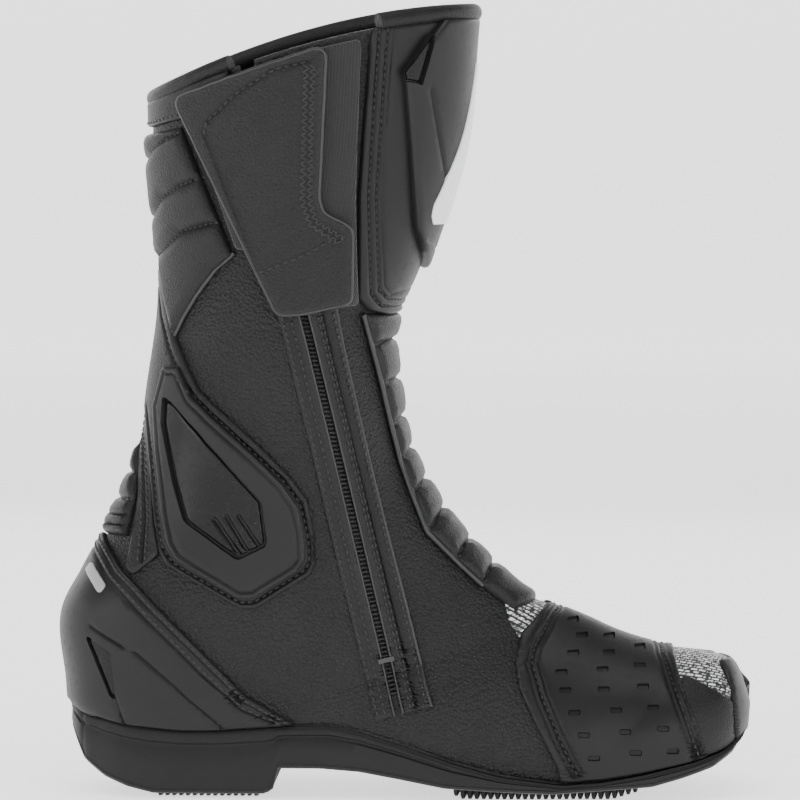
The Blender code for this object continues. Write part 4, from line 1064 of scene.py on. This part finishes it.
def slab(name, finish, grow, topAt, bottomAt, round1, round2, wall, on, stands, step=4.0):
    rim, out = footOutline(grow)
    groups = [rim]
    for d in (0.3 * round2, round2, 2.2 * round2):
        ring = rim - out * d
        groups.append(ring[gapTo(np.c_[ring, 0 * ring[:, 0]], np.c_[rim, 0 * rim[:, 0]], True) > d * 0.85])
    xs, ys = np.meshgrid(np.arange(-64, 240, step), np.arange(-60, 60, step))
    grid = np.stack([xs.ravel(), ys.ravel()], -1)
    grid = grid[inside(grid, rim)]
    groups.append(
        grid[gapTo(np.c_[grid, 0 * grid[:, 0]], np.c_[rim, 0 * rim[:, 0]], True) > 2.2 * round2 + 1.5]
    )
    cut = delaunay_2d_cdt([Vector(p) for p in np.vstack(groups)], [], [list(range(len(rim)))], 1, 1e-4)
    plan, faces = np.array([tuple(p) for p in cut[0]]), [f for f in cut[2] if len(f) == 3]
    gap = gapTo(np.c_[plan, 0 * plan[:, 0]], np.c_[rim, 0 * rim[:, 0]], True)
    top = topAt(plan[:, 0]) - round1 * (1 - crown(gap, round1))
    bottom = np.minimum(bottomAt(plan[:, 0]) + round2 * (1 - crown(gap, round2)), top - 0.8)
    count, turned = len(rim), len(plan)
    points = [np.c_[plan, top], np.c_[plan, bottom]]
    polygons = [tuple(f) for f in faces] + [tuple(i + turned for i in f[::-1]) for f in faces]
    rimTop, rimBottom = topAt(rim[:, 0]) - round1, np.minimum(
        bottomAt(rim[:, 0]) + round2, topAt(rim[:, 0]) - round1 - 0.8,
    )
    start = 2 * turned
    for share, bulge in wall:
        points.append(np.c_[rim + out * bulge, rimTop + (rimBottom - rimTop) * share])
    levels = [list(range(count))] + [
        [start + k * count + i
        for i in range(count)] for k in range(len(wall))
    ] + [[turned + i for i in range(count)]]
    for upper, lower in zip(levels, levels[1:]):
        for i in range(count):
            j = (i + 1) % count
            polygons.append((upper[j], upper[i], lower[i], lower[j]))
    points = np.vstack(points)
    # edge lightens the top and bottom rims of the sole: partly wear, partly painted highlight.
    masks = {
        "plan": points,
        "edge": np.concatenate(
            [np.exp(-(gap / 1.2) ** 2), np.exp(-(gap / 1.2) ** 2), np.zeros(count * len(wall))]
        ),
    }
    obj = makePiece(name, points, polygons, masks, 40)
    return attach(obj, finish, on, stands)


def bars(name, xs, zAt, inset, width, depth, stands):
    rim, _ = footOutline(sole["welt"] - inset)
    lower = rim[rim[:, 1] < 0][np.argsort(rim[rim[:, 1] < 0][:, 0])]
    upper = rim[rim[:, 1] > 0][np.argsort(rim[rim[:, 1] > 0][:, 0])]
    parts = []
    for x in xs:
        y0, y1 = np.interp(x, lower[:, 0], lower[:, 1]), np.interp(x, upper[:, 0], upper[:, 1])
        z = float(zAt(x))
        rings = []
        for y in np.concatenate([[y0, y0 + 0.8], np.linspace(y0 + 3, y1 - 3, 12), [y1 - 0.8, y1]]):
            small = 0.6 if y in (y0, y1) else 1.0
            lean = 2.4 * math.sin((y - y0) / (y1 - y0) * math.pi)
            for dx, dz in ((-0.5, 1.0), (-0.5, 0.35), (-0.28, 0.0), (0.28, 0.0), (0.5, 0.35), (0.5, 1.0)):
                rings.append((x + dx * width * small + lean, y, z + dz * depth + (1 - small) * 0.8))
        count = len(rings) // 6
        faces = [
            (j * 6 + k, j * 6 + 6 + k, j * 6 + 6 + (k + 1) % 6, j * 6 + (k + 1) % 6)
            for j in range(count - 1) for k in range(6)
        ]
        faces += [tuple(range(6)), tuple(range(count * 6 - 6, count * 6))[::-1]]
        parts.append((np.array(rings), faces))
    points, faces = gather(parts)
    attach(makePiece(name, points, faces, sharp=35), soleRubber, "foot", stands)


slab(
    "soleBody", soleRubber, sole["welt"], lambda x: readLine(sole["top"], x),
    lambda x: readLine(sole["bottom"], x), 1.0, 1.6, sole["wall"], "foot", ("outsole",),
)
bars("heelTread", np.arange(-21.5, 21, 3.0), lambda x: 0.0, 8.0, 2.3, 4.4, ("heel_tread_insert",))
bars(
    "forefootTread", np.arange(108, 187, 3.0), lambda x: readLine(sole["forefoot"], x), 8.0, 2.4, 5.0,
    ("forefoot_tread_insert",),
)
slab(
    "footbedTop", bedCloth, -10.0, lambda x: readLine(sole["top"], x) + 5.2,
    lambda x: readLine(sole["top"], x) + 2.4, 1.0, 0.8, ((0.5, 0.1),), "foot", ("footbed",),
)
print("sole done")

# Foot: vamp, toe, heel.

vampBack = (
    (137.5, 93.2), (126.3, 95.5), (131.5, 75), (137.0, 67), (138, 58), (139, 46), (145, 31), (155, 12),
    (157, 3),
)
toeSeam = ((228.5, 57), (223.5, 56.5), (227.5, 46.2), (228.8, 35.2), (229.7, 23.3), (229, 12))
patch(
    "vampWeave", glintDashTextile, overFoot(vampBack, toeSeam), 0.25, 0.9, 0.6, 2.6, on="foot",
    stands=("vamp_panel", "toe_cap"),
)
toeSide = (
    (207, 51.8), (211.2, 50.6), (220, 46.2), (227.9, 41.1), (229.4, 23.3), (226, 12), (209, 12), (204, 40),
)
toeRing = ringInner(toeSide)
for label, ring in (("Inner", toeRing), ("Outer", mirrored(toeRing))):
    patch("toeSide" + label, softLeather, ring, 0.3, 1.7, 1.0, 2.0, on="foot")
toeEnd = locate(subdivided(toeSeam))
rand = np.vstack([toeEnd[::-1], mirrored(toeEnd), rail(2, toeTip, 0, toeTip, 30)])
patch("toeRand", padRubber, rand, 0.3, 2.2, 1.3, 1.6, on="foot")

pad = {
    "low": 0.4, "high": 2.5, "edge": 1.3, "slot": (5.3, 2.4), "slotDepth": 0.9,
    "slots": (
        (158.8, 60.7), (153.6, 53.2), (155.3, 45.8), (159.3, 36.5), (163.2, 27.3), (167.6, 17.6),
        (171.6, 53.7), (172, 45.8), (177.3, 37.4), (181.3, 28.6), (185.7, 19.8), (189.2, 46.6), (193.6, 38.3),
        (197.6, 29.9), (201.5, 20.7), (158.8, 73.5), (162.6, 67.6), (174.7, 66.4), (174.4, 60.3),
        (188.3, 61.6), (187.9, 54.8),
    ),
}


def slotRing(x, z):
    w, h = pad["slot"][0] / 2, pad["slot"][1] / 2
    return ringInner(((x - w, z - h), (x + w, z - h), (x + w, z + h), (x - w, z + h)), 0.5)


padSlots = [{"ring": slotRing(x, z), "depth": pad["slotDepth"], "step": 1.1} for x, z in pad["slots"]]
padSlots += [dict(p, ring=mirrored(p["ring"])) for p, (x, z) in zip(padSlots, pad["slots"]) if x < 180]
padLips = [
    groove(
        onInner(((152.2, 80.1), (142.1, 63.8), (140.8, 58.1), (145.2, 43.6), (152.2, 26.8), (160.6, 9.7))),
        1.6, 1.1,
    ),
    groove(onInner(((196.7, 62.5), (199.8, 55.9), (206.4, 37.8), (212.8, 18))), 1.6, 1.1),
]
padLips += [groove(slide(lip["line"], 2.6 * sign), 1.1, 0.6) for lip in padLips for sign in (1, -1)]
patch("shiftPad", padRubber, overFoot(padBack, padFront), pad["low"], pad["high"], pad["edge"], 1.9,
      seams=padLips + flipped(padLips), pockets=padSlots, on="foot", stands=("toe_shift_pad",))
for line in bothSides([lip["line"] for lip in padLips[:2]]):
    stitchLine(line, "foot")

toeGuard = {
    "ring": ((190, 36), (200, 53), (221, 54), (234, 46), (234, 30), (206, 27)),
    "screws": ((202, 42), (217, 42)),
}
circle = [(math.cos(k * math.pi / 8) * 3.3, math.sin(k * math.pi / 8) * 3.3) for k in range(16)]
screwHoles = [
    {
        "ring": mirrored(locate([(x + dx, z + dz) for dx, dz in circle])), "depth": 2.4, "step": 1.0,
    } for x, z in toeGuard["screws"]
]
patch(
    "toeSlider", satinPlastic, mirrored(ringInner(toeGuard["ring"], 6)), 0.4, 5.8, 2.6, 1.6,
    pockets=screwHoles, on="foot", stands=("toe_slider",),
)

cup = {"low": 0.4, "high": 3.0, "edge": 1.3, "step": 2.0, "pocket": 1.7, "stitches": (1.6, 5.2)}
cupFront = ((-46.2, 112.6), (-37.4, 98.6), (17.2, 44), (36.6, 32.6), (38.5, 29))
cupEdge = onInner(cupFront)
cupLines = [
    groove(slide(cupEdge, 3.0), 1.0, 0.7), groove(slide(cupEdge, 7.2), 1.2, 0.8),
    groove(onInner(((-31.2, 63.4), (2.6, 33.4), (7, 29))), 1.4, 0.9), groove(
        onInner(((-40.5, 46.2), (-36.5, 33.9), (-35.5, 30))), 1.0, 0.7,
    ),
    groove(onInner(((-49.7, 73.5), (-36.5, 65.4))), 1.3, 0.9),
]
cupInset = ringInner(((-52.4, 71.0), (-41.4, 62.5), (-39.2, 42.2), (-41.5, 43.5)), 1.2)
cupPockets = [{"ring": ring, "depth": cup["pocket"]} for ring in (cupInset, behind(cupInset))]
cupBoth = cupLines + [dict(s, line=behind(s["line"])) for s in cupLines]
patch(
    "heelCup", satinPlastic, overBack(cupFront), cup["low"], cup["high"], cup["edge"], cup["step"],
    seams=cupBoth, pockets=cupPockets, on="foot", stands=("heel_cup",),
)
for label, ring in (("Inner", cupInset), ("Outer", behind(cupInset))):
    patch("heelInset" + label, glossPlastic, inset(walk(ring, 1.0, True), 0.45), 0.6, 1.9, 0.5, 1.4, on="foot",
          stands=("heel_inset_" + ("lateral" if label == "Outer" else "medial"),))
for shift in cup["stitches"]:
    line = slide(cupEdge, shift)
    stitchLine(line, "foot")
    stitchLine(behind(line), "foot")
patch(
    "heelMark", brightEdge,
    ringInner(((-54.5, 97.5), (-51.5, 101.5), (-44.5, 91.5), (-47.5, 87.5)), 1.5, 3.0), 2.7, 3.6, 0.4, 1.2,
    border=0.8, on="foot", stands=("heel_badge",),
)
print("foot done")

# Folds at the ankle.

flex = {"low": 0.35, "high": 4.4, "radius": 6.2, "depth": 3.3, "edge": 3.4}
frontValleys = [valley(across((l, f)), flex["radius"], flex["depth"]) for l, f in list(zip(ribLeft, ribFront))[1:-1]]
patch("frontFolds", softLeather, overFront(ribLeft), flex["low"], flex["high"], flex["edge"], 1.9, seams=frontValleys,
      stands=("instep_flex_panel", "front_flex_panel"), fill=0.7)
rearSide = ((-31, 175.5), (-29.3, 150), (-31, 130), (-35.0, 112.8))
rearLevels = (
    (-30.5, 166.5, 167), (-29.6, 152.5, 152.6), (-30, 139.5, 139.0), (-31.2, 128.0, 127.3),
    (-32.6, 121.0, 120.0), (-33.4, 116.8, 115.6),
)
rearValleys = [valley(across(((x, z0), (-46, z1)), "back"), 5.6 if z0 > 125 else 2.4, 3.0 if z0 > 125 else 1.6) for x, z0, z1 in rearLevels]
patch(
    "rearFolds", softLeather, overBack(rearSide), 0.35, 4.6, 3.2, 1.9, seams=rearValleys,
    stands=("rear_flex_panel",), fill=0.7,
)
for seam in frontValleys + rearValleys[:4]:
    ends = walk(seam["line"], 1.0)
    for end in (ends[1:11], ends[-11:-1]):
        stitchLine(end, "leg", pitch=2.6, length=1.9)
print("folds done")

# Ankle pads and guards.

bindRing = ringInner(
    (
        (-34.5, 174), (-27.5, 172), (-25.0, 150), (-23.8, 120), (-21.0, 106), (-33, 96), (-36.0, 99.5),
        (-33, 116), (-31.0, 130), (-31.0, 150),
    ),
    2, 1.0,
)
bindLine = onInner(((-30.5, 170), (-28.2, 150), (-27.2, 122), (-28.5, 102)), 1.0)
for label, turn in (("Inner", lambda line: line), ("Outer", mirrored)):
    patch(
        "rearBinding" + label, softLeather, turn(bindRing), 0.3, 1.9, 1.2, 1.8,
        seams=[groove(turn(bindLine), 1.2, 0.8)],
    )
    for shift in (1.7, -1.7):
        stitchLine(slide(turn(bindLine), shift), "leg")

padGroove = [
    groove(
        onInner(
            (
                (-22, 224.4), (-20.2, 209), (-16.7, 195.8), (-11.4, 182.6), (-4.4, 172.9), (6.6, 162.8),
                (21.1, 149.6), (33, 138.6), (40.4, 128.5), (43.6, 115.3), (44.6, 103.4), (42.4, 99.4),
                (20.2, 85.3), (14.5, 85.1), (-15, 102.3), (-19.8, 109), (-22.0, 123.2), (-24.9, 151.8),
                (-26.9, 168.5),
            ),
            2.0,
        ),
        1.5, 1.1,
    )
]
padRing = ringInner(((-60, 239.5),) + guardLine[1:20] + ((-60, 176),), 0, 2.0)
padRing[:, 0] = np.maximum(padRing[:, 0], 0.004)
recess = ringInner(
    (
        (-19.4, 174.7), (-15.4, 172), (23.8, 129.4), (26.4, 110), (13.2, 103.4), (-10.1, 120.1), (-15, 136.8),
        (-20.2, 162.4),
    ),
    4, 4.5,
)
plateRing = ringInner(plateLine, 0, 4.0)
guardLines = [groove(slide(walk(plateRing, 1.5, True), 2.6 * turnOf(plateRing), True), 1.3, 0.7)]
guardLines += [
    groove(onInner(pair, 3.5), 1.5, 1.5, 0.9)
    for pair in (((3.5, 121.5), (14.5, 105.5)), ((8.3, 123), (18.7, 106)), ((13.5, 123.5), (23.2, 109)))
]
for label, other in (("Inner", False), ("Outer", True)):
    turn = mirrored if other else (lambda line: line)
    side = "lateral" if other else "medial"
    lines = flipped(padGroove) if other else padGroove
    patch(
        "anklePad" + label, softLeather, turn(padRing), 0.35, 2.9, 1.8, 2.4, seams=lines,
        stands=("ankle_pad_" + side,), fill=0.5,
    )
    lines = flipped(guardLines[:1]) if other else guardLines[:1]
    patch("ankleGuard" + label, satinPlastic, turn(plateRing), 2.3, 5.3, 1.2, 1.7, seams=lines,
          pockets=[{"ring": turn(recess), "depth": 2.5, "wall": 0.5}], stands=("ankle_guard_" + side,))
    lines = flipped(guardLines[1:]) if other else guardLines[1:]
    patch(
        "guardInset" + label, glossPlastic, inset(walk(turn(recess), 1.2, True), 1.3), 2.5, 3.9, 0.9, 1.3,
        seams=lines,
    )
    stitchLine(turn(padGroove[0]["line"]), "leg")
print("ankle done")

# Shaft: calf pad, collar, shin.

calf = {"low": 0.35, "high": 4.6, "edge": 3.6, "step": 2.1, "radius": 6.5, "depth": 2.6}
calfRing = overBack(
    (
        (-10.5, 291), (12, 236), (4, 229), (-4.5, 218), (-10, 208), (-13.5, 200.5), (-17, 216.5),
        (-19.0, 233), (-24, 240.5),
    )
)
calfSeams = (
    ((-6, 291), (-10.1, 289.1), (-18, 285.6), (-21.6, 282.5), (-24.6, 276.8), (-28.2, 268)),
    ((2, 271), (-1.3, 269.3), (-10.1, 266.2), (-17.2, 261.8), (-20.7, 255.2), (-22.4, 247.7), (-26, 246)),
    ((9, 251), (6.6, 250.4), (-4, 248.2), (-10.1, 246), (-15.8, 239.8), (-20.5, 234.5)),
)
calfValleys = []
for points in calfSeams:
    line = locate(subdivided(points))
    calfValleys += [valley(part, calf["radius"], calf["depth"]) for part in (line, behind(line))]
patch(
    "calfPad", softLeather, calfRing, calf["low"], calf["high"], calf["edge"], calf["step"],
    seams=calfValleys, on="shaft", stands=("calf_pad",), fill=0.7,
)
for seam in calfValleys:
    stitchLine(seam["line"], "shaft", pitch=2.8, length=2.0)

collar = {"top": 0.02, "bottom": 0.42, "low": 0.3, "high": 2.4, "edge": 1.4, "roll": 4.0, "rollV": -0.035}
collarStart, collarEnd = locate([(74.5, 330)])[0, 0], 2 + zipBack[0, 0] - 0.02
collarBand = np.vstack(
    [
        rail(1.02, collar["top"], collarEnd, collar["top"]),
        rail(collarEnd, collar["top"], collarEnd, collar["bottom"], 6),
        rail(collarEnd, collar["bottom"], 1.02, collar["bottom"]),
        rail(1.02, collar["bottom"], 1.02, collar["top"], 6),
    ]
)
patch(
    "collarBand", softLeather, collarBand, collar["low"], collar["high"], collar["edge"], 2.4, on="shaft",
    stands=("collar",), fill=0.6,
)
stitchLine(rail(1.05, 0.36, collarEnd - 0.03, 0.36), "shaft")
collarLift = -1.4 + 5.0 * np.exp(-((np.linspace(collarStart, collarEnd, 60) - 1) / 0.22) ** 2)
tubes(
    "collarRoll", softLeather,
    [
        {
            "line": rail(collarStart, collar["rollV"], collarEnd, collar["rollV"], 120),
            "radius": collar["roll"], "lift": collarLift, "sides": 16, "step": 2.0,
        }
    ],
    "shaft",
)

shinEdge = (
    (72.5, 336.2), (71.3, 332.2), (70.4, 329.6), (65.1, 261.8), (64.7, 217.8), (68.6, 212.1), (77, 209.9),
    (85.8, 211.6), (88.9, 215.6),
)
shinGrooves = [
    groove(
        onInner(((73.9, 334.4), (69.1, 261.8), (69.5, 219.6), (73, 214.7), (79.2, 213.8), (90.2, 217.8))),
        1.5, 1.2,
    ),
    groove(
        onInner(((77.4, 335.3), (72.2, 261.8), (72.6, 221.3), (75.7, 217.8), (81.4, 216.9), (91.1, 221.3))),
        1.2, 1.0,
    ),
    groove(onInner(((80.1, 336), (73.9, 261.8), (74.8, 223.1), (77.4, 219.6), (91.5, 224.4))), 1.0, 0.5),
]
patch(
    "shinBase", padRubber, overFront(shinEdge), 0.35, 3.1, 2.4, 2.2, seams=shinGrooves + flipped(shinGrooves),
    on="shaft", stands=("shin_base",),
)
for line in bothSides([shinGrooves[0]["line"], shinGrooves[1]["line"]]):
    stitchLine(line, "shaft")
plateEdge = (
    (99.4, 338.5), (83.2, 313.0), (85.4, 283.8), (87.1, 248.6), (91.1, 231.6), (93.7, 231.2), (103.8, 241),
)
crease = [
    groove(onInner(((92.8, 308), (96.8, 279.4), (101.6, 242))), 1.6, 0.8),
    groove(onInner(((90.0, 244), (96, 240), (104, 247))), 1.2, 0.5),
]
scoop = ringInner(((99.6, 334.0), (84.9, 314.2), (86.3, 310.4), (92.6, 308.9), (95.0, 317.5)), 1.2, 5.5)
patch("shinPlate", satinPlastic, overFront(plateEdge), 2.7, 7.0, 2.0, 2.0, seams=crease + flipped(crease),
      pockets=[{"ring": scoop, "depth": 2.2, "wall": 0.5}, {"ring": mirrored(scoop), "depth": 2.2, "wall": 0.5}], on="shaft", stands=("shin_plate",))
for label, ring in (("Inner", scoop), ("Outer", mirrored(scoop))):
    patch(
        "shinScoop" + label, glossPlastic, inset(walk(ring, 1.0, True), 0.9), 4.4, 5.6, 0.9, 1.4, on="shaft",
    )
filmEdge = np.array(
    ((0.96, 0.36), (0.93, 0.7), (0.9, 1.0), (0.87, 1.25), (0.845, 1.5), (0.85, 1.6), (0.87, 1.68))
)
patch(
    "shinReflector", reflectiveFilm, np.vstack([filmEdge, mirrored(filmEdge)[::-1]]), 6.6, 7.8, 0.5, 2.0,
    on="shaft", stands=("shin_reflector",),
)
print("shaft done")

# Zip.

closure = {
    "tapeInner": 0.35, "tapeOuter": 7.6, "tapeLow": -2.6, "tapeHigh": -0.5,
    "pitch": 1.9, "toothLength": 2.2, "toothWidth": 1.05, "toothHeight": 1.5, "offset": 0.6,
    "bandInner": 1.9, "bandBack": 10.6, "bandFront": 14.6, "bandBase": 0.3, "lowest": 37.0,
    "stitches": (5.8, 9.2, -5.6, -7.0, -12.6),
}
zipBody = zipLine[:zipEnd][zipLine[:zipEnd, 1] > 0.25]
for label, sign in (("Back", 1), ("Front", -1)):
    near, far = slide(zipBody, sign * closure["tapeInner"]), slide(zipBody, sign * closure["tapeOuter"])
    patch(
        "zipTape" + label, zipTape, np.vstack([near, far[::-1]]), closure["tapeLow"], closure["tapeHigh"],
        0.4, 2.6, stands=("zip_stringer_" + label.lower(),),
    )
tooth = [closure[key] for key in ("pitch", "toothLength", "toothWidth", "toothHeight", "offset")]
halfPitch = walk(zipBody, closure["pitch"] / 2)[1:]
teeth = studs(zipBody, *tooth, closure["offset"]) + studs(halfPitch, *tooth, -closure["offset"])
points, faces = gather(teeth)
attach(makePiece("zipTeeth", points, faces, sharp=60), blackCoil, "leg")
strip = zipLine[zipLine[:, 1] > 0.5]
stripEnd = int(np.argmin(np.abs(skin(strip[:, 0], strip[:, 1])[:, 2] - closure["lowest"])))
strip = strip[:stripEnd]
backBand = np.vstack([slide(strip, closure["bandInner"]), slide(strip, closure["bandBack"])[::-1]])
frontBand = np.vstack([slide(strip, -closure["bandInner"]), slide(strip, -closure["bandFront"])[::-1]])
patch("placketBack", softLeather, backBand, closure["bandBase"], 1.1, 0.6, 2.2, stands=("zip_placket_back",))
patch(
    "placketFront", softLeather, frontBand, closure["bandBase"], 1.9, 0.9, 2.2,
    seams=[groove(slide(strip, -8.2), 1.0, 0.8)], stands=("zip_placket_front",),
)
for shift in closure["stitches"]:
    stitchLine(slide(strip[: stripEnd - 3], shift), "leg")
tubes("zipPiping", pipeTrim, [
    {"line": slide(strip, 2.0), "radius": 0.5, "lift": 0.9}, {
        "line": slide(strip, -2.0), "radius": 0.5, "lift": 1.6,
    },
    {"line": slide(strip, -14.4), "radius": 0.8, "lift": 1.0},
    {"line": slide(onInner(ribLeft[:-1]), 0.4), "radius": 1.3, "lift": 1.5},
    {
        "line": onInner(((12.3, 236.8), (4, 229.4), (-4.4, 217.8), (-10.1, 208.1), (-14.5, 199))),
        "radius": 1.1, "lift": 1.0,
    },
])
print("zip done")

# Flap.

flapLook = {
    "lift": 7.0, "low": 5.6, "high": 7.9, "zigzag": {"pitch": 1.5, "length": 3.2, "lean": 0.95, "width": 1.0},
}
flapRing = ringInner(
    (
        (-14.1, 303.4), (52.2, 325.8), (48.8, 259.6), (50.6, 253.9), (63.2, 247.3), (62.6, 214.6),
        (39.6, 209.9), (30.8, 209.4),
    ),
    5, flapLook["lift"],
)
foldLine = onInner(((-1.0, 288.2), (22.0, 228.6)), flapLook["lift"])
flapSeams = [
    ridge(foldLine, 1.6, 0.7),
    groove(onInner(((0.9, 292.8), (13.2, 304.5), (28.6, 314.5), (44, 318.5)), flapLook["lift"]), 1.2, 0.5),
]
patch(
    "flapPanel", flapLeather, flapRing, flapLook["low"], flapLook["high"], 1.1, 2.2, seams=flapSeams,
    on="flap", stands=("calf_flap",),
)
stitchLine(
    onInner(((-0.4, 287.2), (0.9, 292.8), (13.2, 304.5), (28.6, 314.5), (44, 318.5)), flapLook["lift"]),
    "flap",
)
stitchLine(onInner(((23, 228), (39.6, 234.5), (48.4, 238.9), (55, 243.1)), flapLook["lift"]), "flap")
zigzag = onInner(((46.2, 317), (44.6, 259.6), (47.2, 250.4), (59, 243.0)), flapLook["lift"])
stitchLine(zigzag, "flap", **flapLook["zigzag"])
stitchLine(slide(zigzag, 2.6), "flap", **flapLook["zigzag"])
elasticRing = ringInner(
    ((48.0, 325), (65.4, 329.0), (63.0, 262), (63.0, 215.5), (52.0, 213.0), (52.0, 240), (46.5, 255)), 2,
)
patch("flapElastic", elasticWeb, elasticRing, 3.4, 5.4, 0.7, 2.2, on="flap", stands=("flap_elastic",))
patch(
    "flapHooks", zipTape, ringInner(((-2, 289), (9, 289), (21, 239), (14.5, 239)), 1.5), 2.3, 5.5, 0.5, 2.0,
    on="flap", stands=("flap_hook_patch",),
)
patch(
    "flapLoops", elasticWeb, ringInner(((-3, 290), (10, 290), (22, 238), (14, 238)), 1.5), 0.3, 1.8, 0.6, 2.0,
    on="shaft", stands=("flap_loop_patch",),
)
tubes(
    "flapPiping", pipeTrim,
    [{"line": walk(flapRing, 2.0, True), "radius": 0.75, "lift": 7.3, "closed": True}], "flap",
)
sewAll()

# Parts that keep their solid form.

kept = {
    "zip_slider": darkMetal, "zip_puller": darkMetal, "zip_bottom_stop": blackCoil, "zip_top_stop": blackCoil,
    "toe_slider_screw_front": darkMetal, "toe_slider_screw_rear": darkMetal,
    "shank": shankSteel, "insole_board": fibreBoard,
    "heel_stiffener": fibreBoard, "toe_puff": fibreBoard,
}
for node, finish in kept.items():
    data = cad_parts[node].data
    data.materials.clear()
    data.materials.append(finish.material)
    values = np.array([v.co for v in data.vertices], np.float32) / mm
    layer = data.attributes.new("rest", "FLOAT_VECTOR", "POINT")
    layer.data.foreach_set("vector", values.ravel())

# Stage, light, camera.

stage = {"tone": 0.92, "glow": 1.25, "rim": 0.8, "height": 1.6}


# A round pale floor whose rim turns up.
def studioFloor():
    mesh = bpy.data.meshes.new("studioFloor")
    turns, levels = 64, [(0.6, 0), (2.0, 0), (3.2, 0)]
    levels += [
        (3.2 + stage["rim"] * math.sin(k * math.pi / 16), stage["rim"] * (1 - math.cos(k * math.pi / 16)))
        for k in range(1, 9)
    ]
    levels.append((3.2 + stage["rim"], stage["height"]))
    points = [(r * math.cos(2 * math.pi * k / turns), r * math.sin(2 * math.pi * k / turns), z) for r, z in levels for k in range(turns)]
    faces = [tuple(range(turns))]
    for i in range(len(levels) - 1):
        for k in range(turns):
            m = (k + 1) % turns
            faces.append((i * turns + k, (i + 1) * turns + k, (i + 1) * turns + m, i * turns + m))
    mesh.from_pydata(points, [], faces)
    mesh.shade_smooth()
    floor = bpy.data.objects.new("studioFloor", mesh)
    bpy.context.scene.collection.objects.link(floor)
    material = bpy.data.materials.new("floorPaint")
    material.use_nodes = True
    shader = material.node_tree.nodes["Principled BSDF"]
    shader.inputs["Base Color"].default_value = (stage["tone"],) * 3 + (1,)
    shader.inputs["Roughness"].default_value = 0.6
    shader.inputs["Emission Color"].default_value = (1, 1, 1, 1)
    shader.inputs["Emission Strength"].default_value = stage["glow"]
    mesh.materials.append(material)


def softLight(name, place, aim, size, power):
    data = bpy.data.lights.new(name, "AREA")
    data.shape, data.size, data.size_y, data.energy = "RECTANGLE", size[0], size[1], power
    light = bpy.data.objects.new(name, data)
    light.location = place
    light.rotation_euler = (Vector(aim) - Vector(place)).to_track_quat("-Z", "Y").to_euler()
    bpy.context.scene.collection.objects.link(light)


studioFloor()
target = Vector((0.0836, 0.0, 0.1717))
softLight("lightAbove", (0.1, -0.3, 1.9), target, (1.6, 1.2), 20)
softLight("lightFront", (0.9, -1.6, 0.8), target, (1.2, 1.4), 8)
softLight("lightBack", (-1.3, -0.8, 0.9), target, (0.8, 1.6), 9)
softLight("lightBehind", (0.2, 1.1, 0.7), target, (2.4, 1.0), 6)
world = bpy.data.worlds.new("studioWorld")
world.use_nodes = True
world.node_tree.nodes["Background"].inputs["Color"].default_value = (1, 1, 1, 1)
world.node_tree.nodes["Background"].inputs["Strength"].default_value = 0.2
bpy.context.scene.world = world

shot = {"distance": 2.4, "elevation": math.radians(4), "lens": 245}
camera = bpy.data.objects.new("camera", bpy.data.cameras.new("camera"))
camera.location = target + Vector(
    (0, -math.cos(shot["elevation"]), math.sin(shot["elevation"]))
) * shot["distance"]
camera.rotation_euler = (target - camera.location).to_track_quat("-Z", "Y").to_euler()
camera.data.lens = shot["lens"]
camera.data.sensor_width = 36
bpy.context.scene.collection.objects.link(camera)
bpy.context.scene.camera = camera
